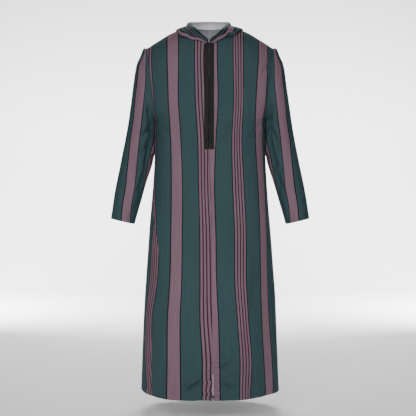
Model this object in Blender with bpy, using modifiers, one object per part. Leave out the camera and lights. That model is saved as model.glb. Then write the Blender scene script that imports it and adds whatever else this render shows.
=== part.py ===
"""Hooded zip-up thobe, filled out as it is worn, with its hood lying back.

Metres, +Z up. The wearer faces -Y, so the wearer's left is +X. The origin is the middle of the neck
opening, level with the side of the neck, where neck and shoulders carry the garment.
"""

import math
from collections import namedtuple

import bmesh
import bpy
from mathutils import Matrix, Vector

# Cloth and seams
CLOTH = 0.0015
SEAM_GAP = 0.0003
HALF_GAP = SEAM_GAP / 2
TAPE = 0.0010

# Main heights
HEM = -1.334
ARMPIT = -0.336
YOKE = -0.200
SHOULDER_TIP = -0.064

# Neck, shoulders and armholes
NECK_HALF_WIDTH = 0.095
NECK_SIDE_Z = 0.010
NECK_FRONT_Z = -0.061
NECK_BACK_Z = 0.018
SHOULDER_HALF_WIDTH = 0.234
ARMPIT_HALF_WIDTH = 0.2055
SHOULDER_ROUND = 0.130
ROUND_POWER = 2.2
SECTION_POWER = 2.4
ARMHOLE_SHARE = 0.64

# Zip and hem slit
ZIP_END = -0.450
ZIP_HALF_WIDTH = 0.0175
ZIP_OPENING = 0.003
SLIT_TOP = -1.236
SLIT_OPENING = 0.0021
SLIT_FLARE = 0.014
CHAIN_HALF_WIDTH = 0.0022
CHAIN_THICKNESS = 0.0016
ZIP_LIFT = CLOTH / 2 + SEAM_GAP + TAPE / 2
SLIDER_LENGTH = 0.011
SLIDER_WIDTH = 0.0095
TAB_LENGTH = 0.026
TAB_WIDTH = 0.0066
PLATE = 0.0014
ARCH_WIDTH = 0.0020
ARCH_HOLE = 0.0022
ARCH_BAR = 0.0009
PIN_RADIUS = 0.0006

# In the slider's own frame, with -Y out from the zip: front of its plate, and the tab's hinge
PLATE_OUT = -TAPE / 2 - SEAM_GAP - PLATE
HINGE_Y = PLATE_OUT - ARCH_HOLE / 2
HINGE_Z = 0.0012

# Level sections of the body: half width, depth of front and back, how square the oval is, where the
# centre front line lies, and the turn of each side seam round the body in degrees.
Section = namedtuple("Section", "height half_width front_depth back_depth squareness middle right_seam left_seam")
SECTIONS = (
    Section(-1.335, 0.2560, 0.184, 0.172, 2.08, 0.0105, 54, 97),
    Section(-1.157, 0.2505, 0.174, 0.162, 2.12, 0.0085, 56, 97),
    Section(-1.007, 0.2446, 0.163, 0.150, 2.18, 0.0060, 53, 96),
    Section(-0.932, 0.2400, 0.157, 0.144, 2.22, 0.0055, 48, 95),
    Section(-0.838, 0.2330, 0.150, 0.136, 2.26, 0.0050, 50, 93),
    Section(-0.748, 0.2260, 0.144, 0.129, 2.30, 0.0050, 58, 91),
    Section(-0.650, 0.2175, 0.138, 0.122, 2.34, 0.0040, 77, 90),
    Section(-0.460, 0.2060, 0.129, 0.113, 2.40, -0.0030, 90, 90),
    Section(-0.336, 0.2055, 0.124, 0.109, 2.40, -0.0034, 90, 90),
    Section(-0.200, 0.2055, 0.118, 0.106, 2.40, -0.0034, 90, 90),
    Section(-0.100, 0.2055, 0.110, 0.099, 2.40, -0.0034, 90, 90),
    Section(0.050, 0.2055, 0.096, 0.082, 2.40, -0.0034, 90, 90),
)

ShoulderPoint = namedtuple("ShoulderPoint", "across height")
SHOULDER_LINE = (
    ShoulderPoint(0.000, 0.040),
    ShoulderPoint(0.095, 0.010),
    ShoulderPoint(0.128, -0.002),
    ShoulderPoint(0.150, -0.012),
    ShoulderPoint(0.170, -0.024),
    ShoulderPoint(0.200, -0.042),
    ShoulderPoint(0.234, -0.064),
    ShoulderPoint(0.300, -0.106),
)

# Soft upright folds of the skirt: turn round the body in degrees (0 is the front, + the wearer's
# left), half width in degrees, lift at the hem and the height where the fold runs out.
SkirtFold = namedtuple("SkirtFold", "turn half_width lift top")
SKIRT_FOLDS = (
    SkirtFold(-64, 14, 0.0030, -0.70),
    SkirtFold(-30, 14, 0.0040, -0.78),
    SkirtFold(-6, 10, -0.0030, -1.05),
    SkirtFold(24, 15, 0.0050, -0.70),
    SkirtFold(52, 13, -0.0040, -0.80),
    SkirtFold(72, 14, 0.0030, -0.62),
    SkirtFold(122, 16, 0.0060, -0.60),
    SkirtFold(150, 14, -0.0050, -0.72),
    SkirtFold(178, 15, 0.0060, -0.66),
    SkirtFold(-150, 14, -0.0045, -0.76),
    SkirtFold(-122, 16, 0.0055, -0.64),
)

# How far the hem rises, or drops where less than 0, at a turn round the body.
HemPoint = namedtuple("HemPoint", "turn rise")
HEM_LINE = (
    HemPoint(-180, 0.0000),
    HemPoint(-97, 0.0030),
    HemPoint(-75, 0.0020),
    HemPoint(-65, 0.0005),
    HemPoint(-51, -0.0030),
    HemPoint(-42, -0.0050),
    HemPoint(-20, -0.0035),
    HemPoint(0, -0.0010),
    HemPoint(20, -0.0020),
    HemPoint(40, -0.0015),
    HemPoint(66, 0.0000),
    HemPoint(79, 0.0000),
    HemPoint(97, 0.0030),
    HemPoint(180, 0.0000),
)

# Sleeve, from armhole to cuff: the outer and inner edge as seen from the front, half its depth
# from front to back, and how far its middle lies forward.
SleeveRing = namedtuple("SleeveRing", "along outer_x outer_z inner_x inner_z half_depth forward")
SLEEVE_RINGS = (
    SleeveRing(0.00, 0.2340, -0.0640, 0.2055, -0.3360, 0.074, 0.000),
    SleeveRing(0.04, 0.2480, -0.0640, 0.2078, -0.3440, 0.074, 0.000),
    SleeveRing(0.09, 0.2590, -0.0900, 0.2078, -0.3560, 0.074, -0.001),
    SleeveRing(0.15, 0.2740, -0.1250, 0.2078, -0.3720, 0.074, -0.002),
    SleeveRing(0.24, 0.2850, -0.1900, 0.2078, -0.4020, 0.073, -0.004),
    SleeveRing(0.36, 0.2965, -0.2700, 0.2083, -0.4420, 0.070, -0.005),
    SleeveRing(0.50, 0.3110, -0.3690, 0.2162, -0.4930, 0.065, -0.003),
    SleeveRing(0.66, 0.3320, -0.4820, 0.2345, -0.5520, 0.059, 0.004),
    SleeveRing(0.83, 0.3530, -0.5940, 0.2575, -0.6320, 0.052, 0.015),
    SleeveRing(1.00, 0.3665, -0.6990, 0.2810, -0.7190, 0.044, 0.031),
)

# Soft folds of a sleeve: place along it, turn round it in degrees (0 is the outer edge, 90 the
# front), slant in degrees of turn over the whole length, half length, half width, lift.
SleeveFold = namedtuple("SleeveFold", "along turn slant half_length half_width lift")
SLEEVE_FOLDS = (
    SleeveFold(0.22, 128, 150, 0.20, 20, -0.0050),
    SleeveFold(0.40, 150, 170, 0.18, 18, -0.0040),
    SleeveFold(0.62, 108, 190, 0.16, 20, -0.0035),
    SleeveFold(0.78, 140, 160, 0.14, 20, 0.0030),
    SleeveFold(0.24, 232, -150, 0.20, 20, -0.0050),
    SleeveFold(0.55, 250, -180, 0.18, 20, -0.0040),
    SleeveFold(0.74, 215, -160, 0.15, 18, 0.0035),
)

# Hood, from the zip round to the middle of the back. The fold is where the cloth turns back up,
# seen from the front or the back; the crease is a furrow in the layer above it, a share of the way
# to the fold; the crown is the top of that layer; the mouth is the edge round the face. Lifts are
# distances out from the body.
HoodSection = namedtuple(
    "HoodSection",
    "along fold_x fold_z fold_lift roll_lift crease_share crease_lift"
    " crown_x crown_y crown_z mouth_x mouth_y mouth_z",
)
HOOD_SECTIONS = (
    HoodSection(
        0.00, 0.0090, -0.0675, 0.0042, 0.0064, 0.50, 0.0068, 0.0060, -0.1112, -0.0590, 0.0044, -0.1060, -0.0535
    ),
    HoodSection(
        0.08, 0.0260, -0.0610, 0.0060, 0.0095, 0.50, 0.0100, 0.0165, -0.1130, -0.0485, 0.0100, -0.1075, -0.0450
    ),
    HoodSection(
        0.18, 0.0560, -0.0530, 0.0068, 0.0130, 0.55, 0.0110, 0.0340, -0.1010, -0.0280, 0.0215, -0.0880, -0.0330
    ),
    HoodSection(
        0.30, 0.0860, -0.0450, 0.0070, 0.0145, 0.58, 0.0112, 0.0560, -0.0740, -0.0040, 0.0350, -0.0600, -0.0140
    ),
    HoodSection(
        0.40, 0.1095, -0.0290, 0.0064, 0.0105, 0.60, 0.0084, 0.0735, -0.0400, 0.0130, 0.0480, -0.0290, 0.0040
    ),
    HoodSection(
        0.50, 0.1260, -0.0020, 0.0054, 0.0072, 0.60, 0.0076, 0.0860, 0.0020, 0.0235, 0.0590, 0.0020, 0.0200
    ),
    HoodSection(
        0.60, 0.1240, -0.0580, 0.0070, 0.0115, 0.60, 0.0120, 0.0935, 0.0360, 0.0330, 0.0700, 0.0340, 0.0370
    ),
    HoodSection(
        0.72, 0.1120, -0.1180, 0.0075, 0.0250, 0.55, 0.0310, 0.0965, 0.0760, 0.0390, 0.0800, 0.0620, 0.0520
    ),
    HoodSection(
        0.86, 0.0700, -0.1860, 0.0080, 0.0300, 0.50, 0.0390, 0.0600, 0.1290, 0.0420, 0.0440, 0.1080, 0.0640
    ),
    HoodSection(
        0.95, 0.0260, -0.2110, 0.0085, 0.0310, 0.50, 0.0410, 0.0215, 0.1430, 0.0420, 0.0160, 0.1235, 0.0695
    ),
    HoodSection(
        1.00, 0.0000, -0.2120, 0.0085, 0.0310, 0.50, 0.0410, 0.0000, 0.1430, 0.0420, 0.0000, 0.1240, 0.0700
    ),
)
# The wearer's left half of the hood turns back nearer the seam than the right one does, and lies
# a little closer to the neck.
LEFT_FOLD_SHARE = 0.72
LEFT_CROWN_SHARE = 0.91
HOOD_CLEARANCE = 0.0042
HOOD_TURN = 0.0030

# How finely the solids are divided
NECK_COLUMNS = 7
PANEL_COLUMNS = 15
SKIRT_HEIGHTS = (
    HEM, -1.286, SLIT_TOP, -1.150, -1.065, -0.980, -0.895, -0.810, -0.725, -0.640, -0.550,
    ZIP_END - 0.010, ZIP_END + 0.006, -0.392,
)
CHEST_ROWS = 4
YOKE_ROWS = 7
SLEEVE_ROUND = 18
SLEEVE_ROWS = 15
HOOD_COLUMNS = 20


def reading(table, column, at):
    """Value of a column between the rows of a table, on a smooth curve, level past both ends."""
    keys = [row[0] for row in table]
    values = [getattr(row, column) for row in table]
    if at <= keys[0]:
        return values[0]
    if at >= keys[-1]:
        return values[-1]
    after = next(i for i, key in enumerate(keys) if key > at)
    before = after - 1

    def slope(i):
        low = max(i - 1, 0)
        high = min(i + 1, len(keys) - 1)
        return (values[high] - values[low]) / (keys[high] - keys[low])

    span = keys[after] - keys[before]
    t = (at - keys[before]) / span
    start = slope(before) * span
    end = slope(after) * span
    change = values[after] - values[before]
    return values[before] + t * start + t * t * (
        3 * change - 2 * start - end + t * (start + end - 2 * change)
    )


def smooth(share):
    """0 to 1 with level ends."""
    share = min(max(share, 0.0), 1.0)
    return share * share * (3 - 2 * share)


def between(start, end, share):
    return start + (end - start) * share


def signed_power(value, power):
    return math.copysign(abs(value) ** power, value)


# Body


def section(column, height):
    return reading(SECTIONS, column, height)


def shoulder_height(across):
    return reading(SHOULDER_LINE, "height", abs(across))


def armhole_across(height):
    """Distance of the armhole seam from the middle."""
    share = (min(height, SHOULDER_TIP) - ARMPIT) / (SHOULDER_TIP - ARMPIT)
    return between(ARMPIT_HALF_WIDTH, SHOULDER_HALF_WIDTH, max(share, 0) ** 1.7)


def armhole_share(height):
    """Depth of the armhole seam as a share of the body's depth there: it opens up from the armpit."""
    rise = (height - ARMPIT) / (0.35 * (SHOULDER_TIP - ARMPIT))
    rise = min(max(rise, 0.0), 1.0)
    return ARMHOLE_SHARE * math.sqrt(1 - (1 - rise) ** 2)


def full_half_width(height):
    """Half width of the section that the armhole seam cuts off above the armpit."""
    if height <= ARMPIT:
        return section("half_width", height)
    kept = 1 - armhole_share(height) ** SECTION_POWER
    return armhole_across(height) / kept ** (1 / SECTION_POWER)


def shoulder_rounding(below):
    """Share of the full depth at a drop below the shoulder seam."""
    share = min(max(below / SHOULDER_ROUND, 0.0), 1.0)
    return (1 - (1 - share) ** ROUND_POWER) ** (1 / ROUND_POWER)


def body_depth(x, height, facing):
    """How far the body stands out from the middle plane; facing is -1 for the front, 1 for the back."""
    full = section("front_depth" if facing < 0 else "back_depth", height)
    inside = 1 - (abs(x) / full_half_width(height)) ** SECTION_POWER
    round_part = max(inside, 0.0) ** (1 / SECTION_POWER)
    return full * round_part * shoulder_rounding(shoulder_height(x) - height)


def body_point(x, height, facing, lift=0.0):
    """A point of the body's cloth, moved out from it by lift. Past the shoulder seam it stays on it."""
    crest = shoulder_height(x)
    height = min(height, crest)
    point = Vector((x, facing * body_depth(x, height, facing), height))
    if not lift:
        return point
    step = 0.0015
    level = min(height, crest - step)
    across = (body_depth(x + step, level, facing) - body_depth(x - step, level, facing)) / (2 * step)
    upward = (body_depth(x, level + step, facing) - body_depth(x, level - step, facing)) / (2 * step)
    normal = Vector((-across, facing, -upward)).normalized()
    crest_run = (shoulder_height(x + step) - shoulder_height(x - step)) / (2 * step)
    crest_normal = Vector((-crest_run, 0, 1)).normalized()
    normal = normal.lerp(crest_normal, smooth(1 - (crest - height) / 0.006)).normalized()
    return point + normal * lift


def skirt_lift(turn, height):
    lift = 0.0
    for fold in SKIRT_FOLDS:
        away = abs((turn - fold.turn + 180) % 360 - 180) / fold.half_width
        grown = smooth((fold.top - height) / (fold.top - HEM))
        lift += fold.lift * grown * smooth(1 - away)
    return lift


def ring_point(turn, height):
    """A point of the body below the armholes at a turn round it in degrees."""
    angle = math.radians(turn)
    width = section("half_width", height)
    depth = section("front_depth" if abs(turn) < 90 else "back_depth", height)
    power = 2 / section("squareness", height)
    x = width * signed_power(math.sin(angle), power)
    y = -depth * signed_power(math.cos(angle), power)
    outward = Vector((x / width**2, y / depth**2, 0)).normalized()
    round_turn = (turn + 180) % 360 - 180
    rise = reading(HEM_LINE, "rise", round_turn) * smooth((height - SLIT_TOP) / (HEM - SLIT_TOP))
    return Vector((x, y, height + rise)) + outward * skirt_lift(turn, height)


def seam_turn(side, height):
    return section("left_seam" if side > 0 else "right_seam", height)


def middle_turn(height):
    """Turn of the centre front line, which wanders a little from the zip down to the hem."""
    middle = section("middle", height)
    share = abs(middle) / section("half_width", height)
    return math.copysign(math.degrees(math.asin(share ** (section("squareness", height) / 2))), middle)


def front_edge_gap(height):
    """Half the gap between the two fronts at the centre line."""
    if height > ZIP_END:
        return between(HALF_GAP, ZIP_OPENING, smooth((height - ZIP_END) / 0.006))
    if height < SLIT_TOP:
        return between(HALF_GAP, SLIT_OPENING, smooth((SLIT_TOP - height) / SLIT_FLARE))
    return HALF_GAP


def neckline_height(across, facing):
    share = min(abs(across) / NECK_HALF_WIDTH, 1.0)
    if facing < 0:
        return between(NECK_FRONT_Z, NECK_SIDE_Z, share**1.15)
    return between(NECK_BACK_Z, NECK_SIDE_Z, share**2.5)


def top_height(across, facing):
    if abs(across) < NECK_HALF_WIDTH:
        return neckline_height(across, facing)
    return shoulder_height(across)


def column_share(step):
    """Share of a panel's width at a column, with one column at the side of the neck."""
    neck = math.asin((NECK_HALF_WIDTH / SHOULDER_HALF_WIDTH) ** (SECTION_POWER / 2)) * 2 / math.pi
    if step <= NECK_COLUMNS:
        return neck * math.sin(math.pi / 2 * step / NECK_COLUMNS)
    return between(neck, 1.0, (step - NECK_COLUMNS) / (PANEL_COLUMNS - NECK_COLUMNS))


def panel_rows():
    """Heights of the level rows, then shares of the way up to the shoulder seam and neckline."""
    skirt = list(SKIRT_HEIGHTS)
    chest = [between(ARMPIT, YOKE, (i / CHEST_ROWS) ** 1.5) for i in range(CHEST_ROWS)]
    yoke = [math.sin(math.pi / 2 * i / YOKE_ROWS) for i in range(YOKE_ROWS + 1)]
    return skirt + chest, yoke


def towards(point, other, distance):
    return point + (other - point).normalized() * distance


def panel_point(side, facing, step, row):
    """A point of the front (facing -1) or back (1) at a column from the middle and a row from the hem."""
    level_rows, yoke = panel_rows()
    share = column_share(step)
    across_share = math.sin(share * math.pi / 2) ** (2 / SECTION_POWER)
    at_edge = step == PANEL_COLUMNS
    if row < len(level_rows):
        height = level_rows[row]
        if height <= ARMPIT:
            return skirt_point(side, facing, share, height, at_edge)
    else:
        top = top_height(SHOULDER_HALF_WIDTH * across_share, facing)
        height = between(YOKE, top, yoke[row - len(level_rows)])
    edge = armhole_across(height) * side
    middle = front_middle(side, height) if facing < 0 else 0.0
    x = between(middle, edge, across_share)
    point = body_point(x, height, facing)
    if row == len(level_rows) + YOKE_ROWS and step >= NECK_COLUMNS:
        point.y = facing * HALF_GAP
    elif at_edge:
        point.y = facing * max(abs(point.y), HALF_GAP)
    return point


def front_middle(side, height):
    return section("middle", height) + side * front_edge_gap(height)


def skirt_point(side, facing, share, height, at_edge):
    seam = side * seam_turn(side, height)
    if facing < 0:
        start = middle_turn(height)
    else:
        start = side * 180
    turn = between(start, seam, share)
    point = ring_point(turn, height)
    if at_edge:
        inner = ring_point(between(start, seam, 0.98), height)
        return towards(point, inner, HALF_GAP)
    if facing < 0 and share == 0:
        return point + Vector((side * front_edge_gap(height), 0, 0))
    return point


# Making objects


def make_material(name, colour, roughness, metallic=0.0):
    material = bpy.data.materials.new(name)
    material.use_nodes = True
    shader = material.node_tree.nodes["Principled BSDF"]
    shader.inputs["Base Color"].default_value = (*colour, 1)
    shader.inputs["Roughness"].default_value = roughness
    shader.inputs["Metallic"].default_value = metallic
    return material


def make_object(name, bm, material, collection):
    mesh = bpy.data.meshes.new(name)
    bm.to_mesh(mesh)
    bm.free()
    mesh.shade_smooth()
    mesh.materials.append(material)
    obj = bpy.data.objects.new(name, mesh)
    collection.objects.link(obj)
    return obj


def make_sheet(name, columns, rows, place, thickness, material, collection, tube=False):
    """A grid whose points place(column, row) puts, given a wall; a tube's first and last columns meet."""
    bm = bmesh.new()
    bmesh.ops.create_grid(bm, x_segments=columns, y_segments=rows, size=0.5)
    for vertex in bm.verts:
        column = round((vertex.co.x + 0.5) * columns)
        row = round((vertex.co.y + 0.5) * rows)
        vertex.co = place(column, row)
    if tube:
        bmesh.ops.remove_doubles(bm, verts=bm.verts, dist=0.00001)
    bmesh.ops.recalc_face_normals(bm, faces=bm.faces)
    obj = make_object(name, bm, material, collection)
    wall = obj.modifiers.new("wall", "SOLIDIFY")
    wall.thickness = thickness
    wall.offset = 0
    return obj


def make_box(bm, low, high):
    """Adds a box between two corners."""
    middle = (Vector(low) + Vector(high)) / 2
    size = Vector(high) - Vector(low)
    made = bmesh.ops.create_cube(bm, size=1.0)
    bmesh.ops.scale(bm, vec=size, verts=made["verts"])
    bmesh.ops.translate(bm, vec=middle, verts=made["verts"])


# Body panels


def make_front(name, side, cloth, collection):
    rows = len(SKIRT_HEIGHTS) + CHEST_ROWS + YOKE_ROWS

    def place(column, row):
        return panel_point(side, -1, column, row)

    return make_sheet(name, PANEL_COLUMNS, rows, place, CLOTH, cloth, collection)


def make_back(cloth, collection):
    rows = len(SKIRT_HEIGHTS) + CHEST_ROWS + YOKE_ROWS

    def place(column, row):
        step = column - PANEL_COLUMNS
        side = 1 if step >= 0 else -1
        return panel_point(side, 1, abs(step), row)

    return make_sheet("back", 2 * PANEL_COLUMNS, rows, place, CLOTH, cloth, collection)


# Sleeves


def sleeve_lift(along, turn):
    lift = 0.0
    for fold in SLEEVE_FOLDS:
        beyond = (along - fold.along) / fold.half_length
        centre = fold.turn + fold.slant * (along - fold.along)
        away = abs((turn - centre + 180) % 360 - 180) / fold.half_width
        lift += fold.lift * smooth(1 - abs(beyond)) * smooth(1 - away)
    return lift


def armhole_point(side, turn):
    """A point of the armhole seam: turn 0 is the shoulder, 90 the front, 180 the armpit."""
    angle = math.radians(turn)
    middle = (SHOULDER_TIP + ARMPIT) / 2
    height = middle + (SHOULDER_TIP - ARMPIT) / 2 * math.cos(angle)
    facing = -1 if turn % 360 < 180 else 1
    across = armhole_across(height)
    depth = body_depth(across, min(height, shoulder_height(across)), facing)
    clear = between(2 * SEAM_GAP, SEAM_GAP + 1.2 * CLOTH, (1 - math.cos(angle)) / 2)
    return Vector((side * (across + clear), facing * depth, height))


def sleeve_point(side, along, turn):
    angle = math.radians(turn)

    def value(column, at):
        return reading(SLEEVE_RINGS, column, at)

    def oval(at, half_depth):
        outer = Vector((side * value("outer_x", at), 0, value("outer_z", at)))
        inner = Vector((side * value("inner_x", at), 0, value("inner_z", at)))
        point = (outer + inner) / 2 + (outer - inner) / 2 * math.cos(angle)
        point.y = -half_depth * math.sin(angle) - value("forward", at)
        return point

    half_depth = value("half_depth", along)
    point = oval(along, half_depth)
    first = armhole_point(side, turn)
    start = oval(0.0, SLEEVE_RINGS[0].half_depth)
    held = 1 - smooth(along / 0.30)
    point += (first - start) * held
    outward = Vector((side * math.cos(angle), -math.sin(angle), 0.25 * math.cos(angle))).normalized()
    return point + outward * sleeve_lift(along, turn)


def make_sleeve(name, side, cloth, collection):
    def place(column, row):
        along = (row / SLEEVE_ROWS) ** 1.15
        return sleeve_point(side, along, 360 * (column % SLEEVE_ROUND) / SLEEVE_ROUND)

    return make_sheet(name, SLEEVE_ROUND, SLEEVE_ROWS, place, CLOTH, cloth, collection, tube=True)


# Hood


def hood_seam(along, side):
    """The neck seam: where it runs as seen from the front or the back, and which of the two."""
    facing = -1 if along <= 0.5 else 1
    quarter = math.pi / 2 * (along / 0.5 if facing < 0 else (1 - along) / 0.5)
    across = NECK_HALF_WIDTH * math.sin(quarter)
    if facing < 0:
        across = between(ZIP_OPENING, NECK_HALF_WIDTH, math.sin(quarter))
    middle = section("middle", NECK_FRONT_Z) * (1 - smooth(along / 0.3))
    return across, neckline_height(across, facing), facing, middle


def hood_controls(along, side):
    """The points that a strip of the hood runs through, from the neck seam to the mouth edge."""
    across, height, facing, middle = hood_seam(along, side)

    def value(column):
        return reading(HOOD_SECTIONS, column, along)

    reach = 1.0
    if side > 0:
        reach = between(1.0, LEFT_FOLD_SHARE, smooth(along / 0.16))
        reach = between(reach, 1.0, smooth((along - 0.35) / 0.3))

    def over(share, lift):
        x = between(across, value("fold_x"), share * reach)
        z = between(height, value("fold_z"), share * reach)
        return body_point(middle + side * x, z, facing, lift)

    def place(name):
        x, y, z = (value(f"{name}_{axis}") for axis in "xyz")
        x *= LEFT_CROWN_SHARE if side > 0 else 1.0
        return Vector((middle + side * x, y, z))

    fold_lift = value("fold_lift")
    roll_lift = value("roll_lift")
    seam_lift = CLOTH + 2 * SEAM_GAP
    clear = min(HOOD_CLEARANCE, between(seam_lift, fold_lift, 0.5))
    length = math.hypot(value("fold_x") - across, value("fold_z") - height) * reach
    turn = max(0.05, min(HOOD_TURN / length, 0.4))
    under = [over(share * (1 - turn), between(seam_lift, clear, smooth(share / 0.1))) for share in HOOD_UNDER]
    return (
        *under,
        over(1 - turn * 0.3, between(clear, fold_lift, 0.5)),
        over(1.00, fold_lift),
        over(1 - turn * 0.3, between(roll_lift, fold_lift, 0.40)),
        over(1 - turn * 1.2, between(roll_lift, fold_lift, 0.06)),
        over(0.5 + 0.5 * value("crease_share"), roll_lift),
        over(value("crease_share") * 0.9, value("crease_lift")),
        place("crown"),
        place("mouth"),
    )


# Places of the controls of the layer under the fold, and the rows of the whole strip by control.
HOOD_UNDER = (0.0, 0.07, 0.15, 0.24, 0.34, 0.45, 0.57, 0.70, 0.84, 1.0)
HOOD_STEPS = tuple(range(15)) + (14.5, 15.0, 15.5, 16.0, 16.5, 17.0)


def hood_point(side, along, step):
    controls = hood_controls(along, side)
    index = min(int(step), len(controls) - 2)
    share = step - index
    a = controls[max(index - 1, 0)]
    b = controls[index]
    c = controls[index + 1]
    d = controls[min(index + 2, len(controls) - 1)]
    curve = 2 * b + (c - a) * share + (2 * a - 5 * b + 4 * c - d) * share**2
    curve += (3 * b - a - 3 * c + d) * share**3
    return curve / 2


def hood_along(column):
    """Place along the neck seam of a column: they stand closest at the side of the neck."""
    away = 2 * column / HOOD_COLUMNS - 1
    return 0.5 + 0.5 * signed_power(away, 1.5)


def make_hood_half(name, side, cloth, collection):
    rows = len(HOOD_STEPS) - 1

    def place(column, row):
        point = hood_point(side, hood_along(column), HOOD_STEPS[row])
        if column == HOOD_COLUMNS:
            point.x = side * HALF_GAP
        return point

    return make_sheet(name, HOOD_COLUMNS, rows, place, CLOTH, cloth, collection)


# Zip


def zip_middle(height):
    return section("middle", height)


def zip_heights(top):
    """Heights of the zip's rows, level with the rows of the fronts below it."""
    level_rows, yoke = panel_rows()
    heights = [height for height in level_rows if ZIP_END + 0.02 < height < YOKE]
    return heights + [between(YOKE, top, share) for share in yoke]


def make_tape(name, side, tape, collection):
    heights = [ZIP_END, ZIP_END + 0.006] + zip_heights(NECK_FRONT_Z - 0.006)

    def place(column, row):
        height = heights[row]
        x = zip_middle(height) + side * between(CHAIN_HALF_WIDTH + 0.0004, ZIP_HALF_WIDTH, column / 2)
        return body_point(x, height, -1, ZIP_LIFT)

    return make_sheet(name, 2, len(heights) - 1, place, TAPE, tape, collection)


def slider_matrix():
    """Place and lean of the slider: it lies on the zip's middle surface."""
    height = NECK_FRONT_Z - 0.011
    middle = body_point(zip_middle(height), height, -1, ZIP_LIFT)
    above = body_point(zip_middle(height), height + 0.004, -1, ZIP_LIFT)
    below = body_point(zip_middle(height), height - 0.004, -1, ZIP_LIFT)
    lean = -math.atan2(above.y - below.y, above.z - below.z)
    return Matrix.Translation(middle) @ Matrix.Rotation(lean, 4, "X")


def make_chain(chain, collection):
    top = NECK_FRONT_Z - 0.011 - SLIDER_LENGTH / 2 - 0.0012
    heights = [ZIP_END + 0.014] + zip_heights(top)

    def place(column, row):
        height = heights[row]
        point = body_point(zip_middle(height), height, -1, ZIP_LIFT)
        point.x += between(-CHAIN_HALF_WIDTH, CHAIN_HALF_WIDTH, column)
        return point

    return make_sheet("zip_chain", 1, len(heights) - 1, place, CHAIN_THICKNESS, chain, collection)


def make_joined(name, boxes, matrix, material, collection):
    """One solid from boxes that overlap, in the slider's own frame."""
    bm = bmesh.new()
    make_box(bm, *boxes[0])
    bm.transform(matrix)
    obj = make_object(name, bm, material, collection)
    obj.data.shade_flat()
    for i, box in enumerate(boxes[1:]):
        bm = bmesh.new()
        make_box(bm, *box)
        bm.transform(matrix)
        piece = make_object(f"{name}_piece_{i}", bm, material, collection)
        piece.hide_render = True
        piece.display_type = "WIRE"
        union = obj.modifiers.new(f"join {i}", "BOOLEAN")
        union.operation = "UNION"
        union.object = piece
    return obj


def make_slider(metal, collection):
    half = SLIDER_LENGTH / 2
    wide = SLIDER_WIDTH / 2
    arch = ARCH_WIDTH / 2
    inner = -TAPE / 2 - SEAM_GAP
    core = CHAIN_HALF_WIDTH - 0.0002
    low = HINGE_Z - ARCH_HOLE / 2 - ARCH_BAR
    high = HINGE_Z + ARCH_HOLE / 2 + ARCH_BAR
    out = PLATE_OUT - ARCH_HOLE - ARCH_BAR
    root = PLATE_OUT + PLATE / 2
    boxes = (
        ((-wide, PLATE_OUT, -half), (wide, inner, half)),
        ((-core, inner - PLATE / 2, -half + 0.0005), (core, TAPE / 2, half - 0.0020)),
        ((-arch, out, high - ARCH_BAR), (arch, root, high)),
        ((-arch, out, low), (arch, root, low + ARCH_BAR)),
        ((-arch + 0.00005, out - 0.0001, low + 0.0001), (arch - 0.00005, out + ARCH_BAR, high - 0.0001)),
    )
    return make_joined("zip_slider", boxes, slider_matrix(), metal, collection)


def make_pull(metal, collection):
    half = PIN_RADIUS
    wide = TAB_WIDTH / 2
    arm = ARCH_WIDTH / 2 + 0.0006
    near = HINGE_Y + half
    far = HINGE_Y - half
    boxes = (
        ((-wide, far, HINGE_Z - half), (wide, near, HINGE_Z + half)),
        ((-wide + 0.00005, far + 0.00005, HINGE_Z - 0.0075), (-arm, near - 0.00005, HINGE_Z + half / 2)),
        ((arm, far + 0.00005, HINGE_Z - 0.0075), (wide - 0.00005, near - 0.00005, HINGE_Z + half / 2)),
        ((-wide, far, HINGE_Z - TAB_LENGTH), (wide, near, HINGE_Z - 0.0060)),
    )
    return make_joined("zip_pull", boxes, slider_matrix(), metal, collection)


def make_bottom_stop(metal, collection):
    height = ZIP_END + 0.011
    point = body_point(zip_middle(height), height, -1, ZIP_LIFT)
    bm = bmesh.new()
    make_box(
        bm,
        (point.x - CHAIN_HALF_WIDTH, point.y - 0.0012, point.z - 0.0022),
        (point.x + CHAIN_HALF_WIDTH, point.y + 0.0005, point.z + 0.0022),
    )
    obj = make_object("zip_bottom_stop", bm, metal, collection)
    obj.data.shade_flat()
    return obj


def main():
    for obj in list(bpy.data.objects):
        bpy.data.objects.remove(obj, do_unlink=True)
    collection = bpy.data.collections.new("thobe")
    bpy.context.scene.collection.children.link(collection)

    green = make_material("green striped cloth", (0.042, 0.080, 0.084), 0.55)
    hood_green = make_material("hood cloth", (0.036, 0.070, 0.074), 0.55)
    sleeve_green = make_material("sleeve cloth", (0.045, 0.086, 0.088), 0.55)
    black_tape = make_material("zip tape", (0.012, 0.012, 0.012), 0.8)
    black_teeth = make_material("zip teeth", (0.010, 0.010, 0.010), 0.4)
    black_metal = make_material("lacquered zip metal", (0.02, 0.02, 0.02), 0.35, 1.0)

    make_front("front_left", 1, green, collection)
    make_front("front_right", -1, green, collection)
    make_back(green, collection)
    make_sleeve("sleeve_left", 1, sleeve_green, collection)
    make_sleeve("sleeve_right", -1, sleeve_green, collection)
    make_hood_half("hood_left", 1, hood_green, collection)
    make_hood_half("hood_right", -1, hood_green, collection)
    make_tape("zip_tape_left", 1, black_tape, collection)
    make_tape("zip_tape_right", -1, black_tape, collection)
    make_chain(black_teeth, collection)
    make_slider(black_metal, collection)
    make_pull(black_metal, collection)
    make_bottom_stop(black_metal, collection)


main()
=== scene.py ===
"""Look of a hooded zip-up thobe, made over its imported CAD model.

Metres, +Z up. The wearer faces -Y, so the wearer's left is +X. Each cloth piece is the same surface
as its solid, more finely divided, with its creases, seams and a map that carries the stripes.
"""

import math
from collections import namedtuple
from functools import lru_cache

import bmesh
import bpy
from mathutils import Matrix, Vector, noise


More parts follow.
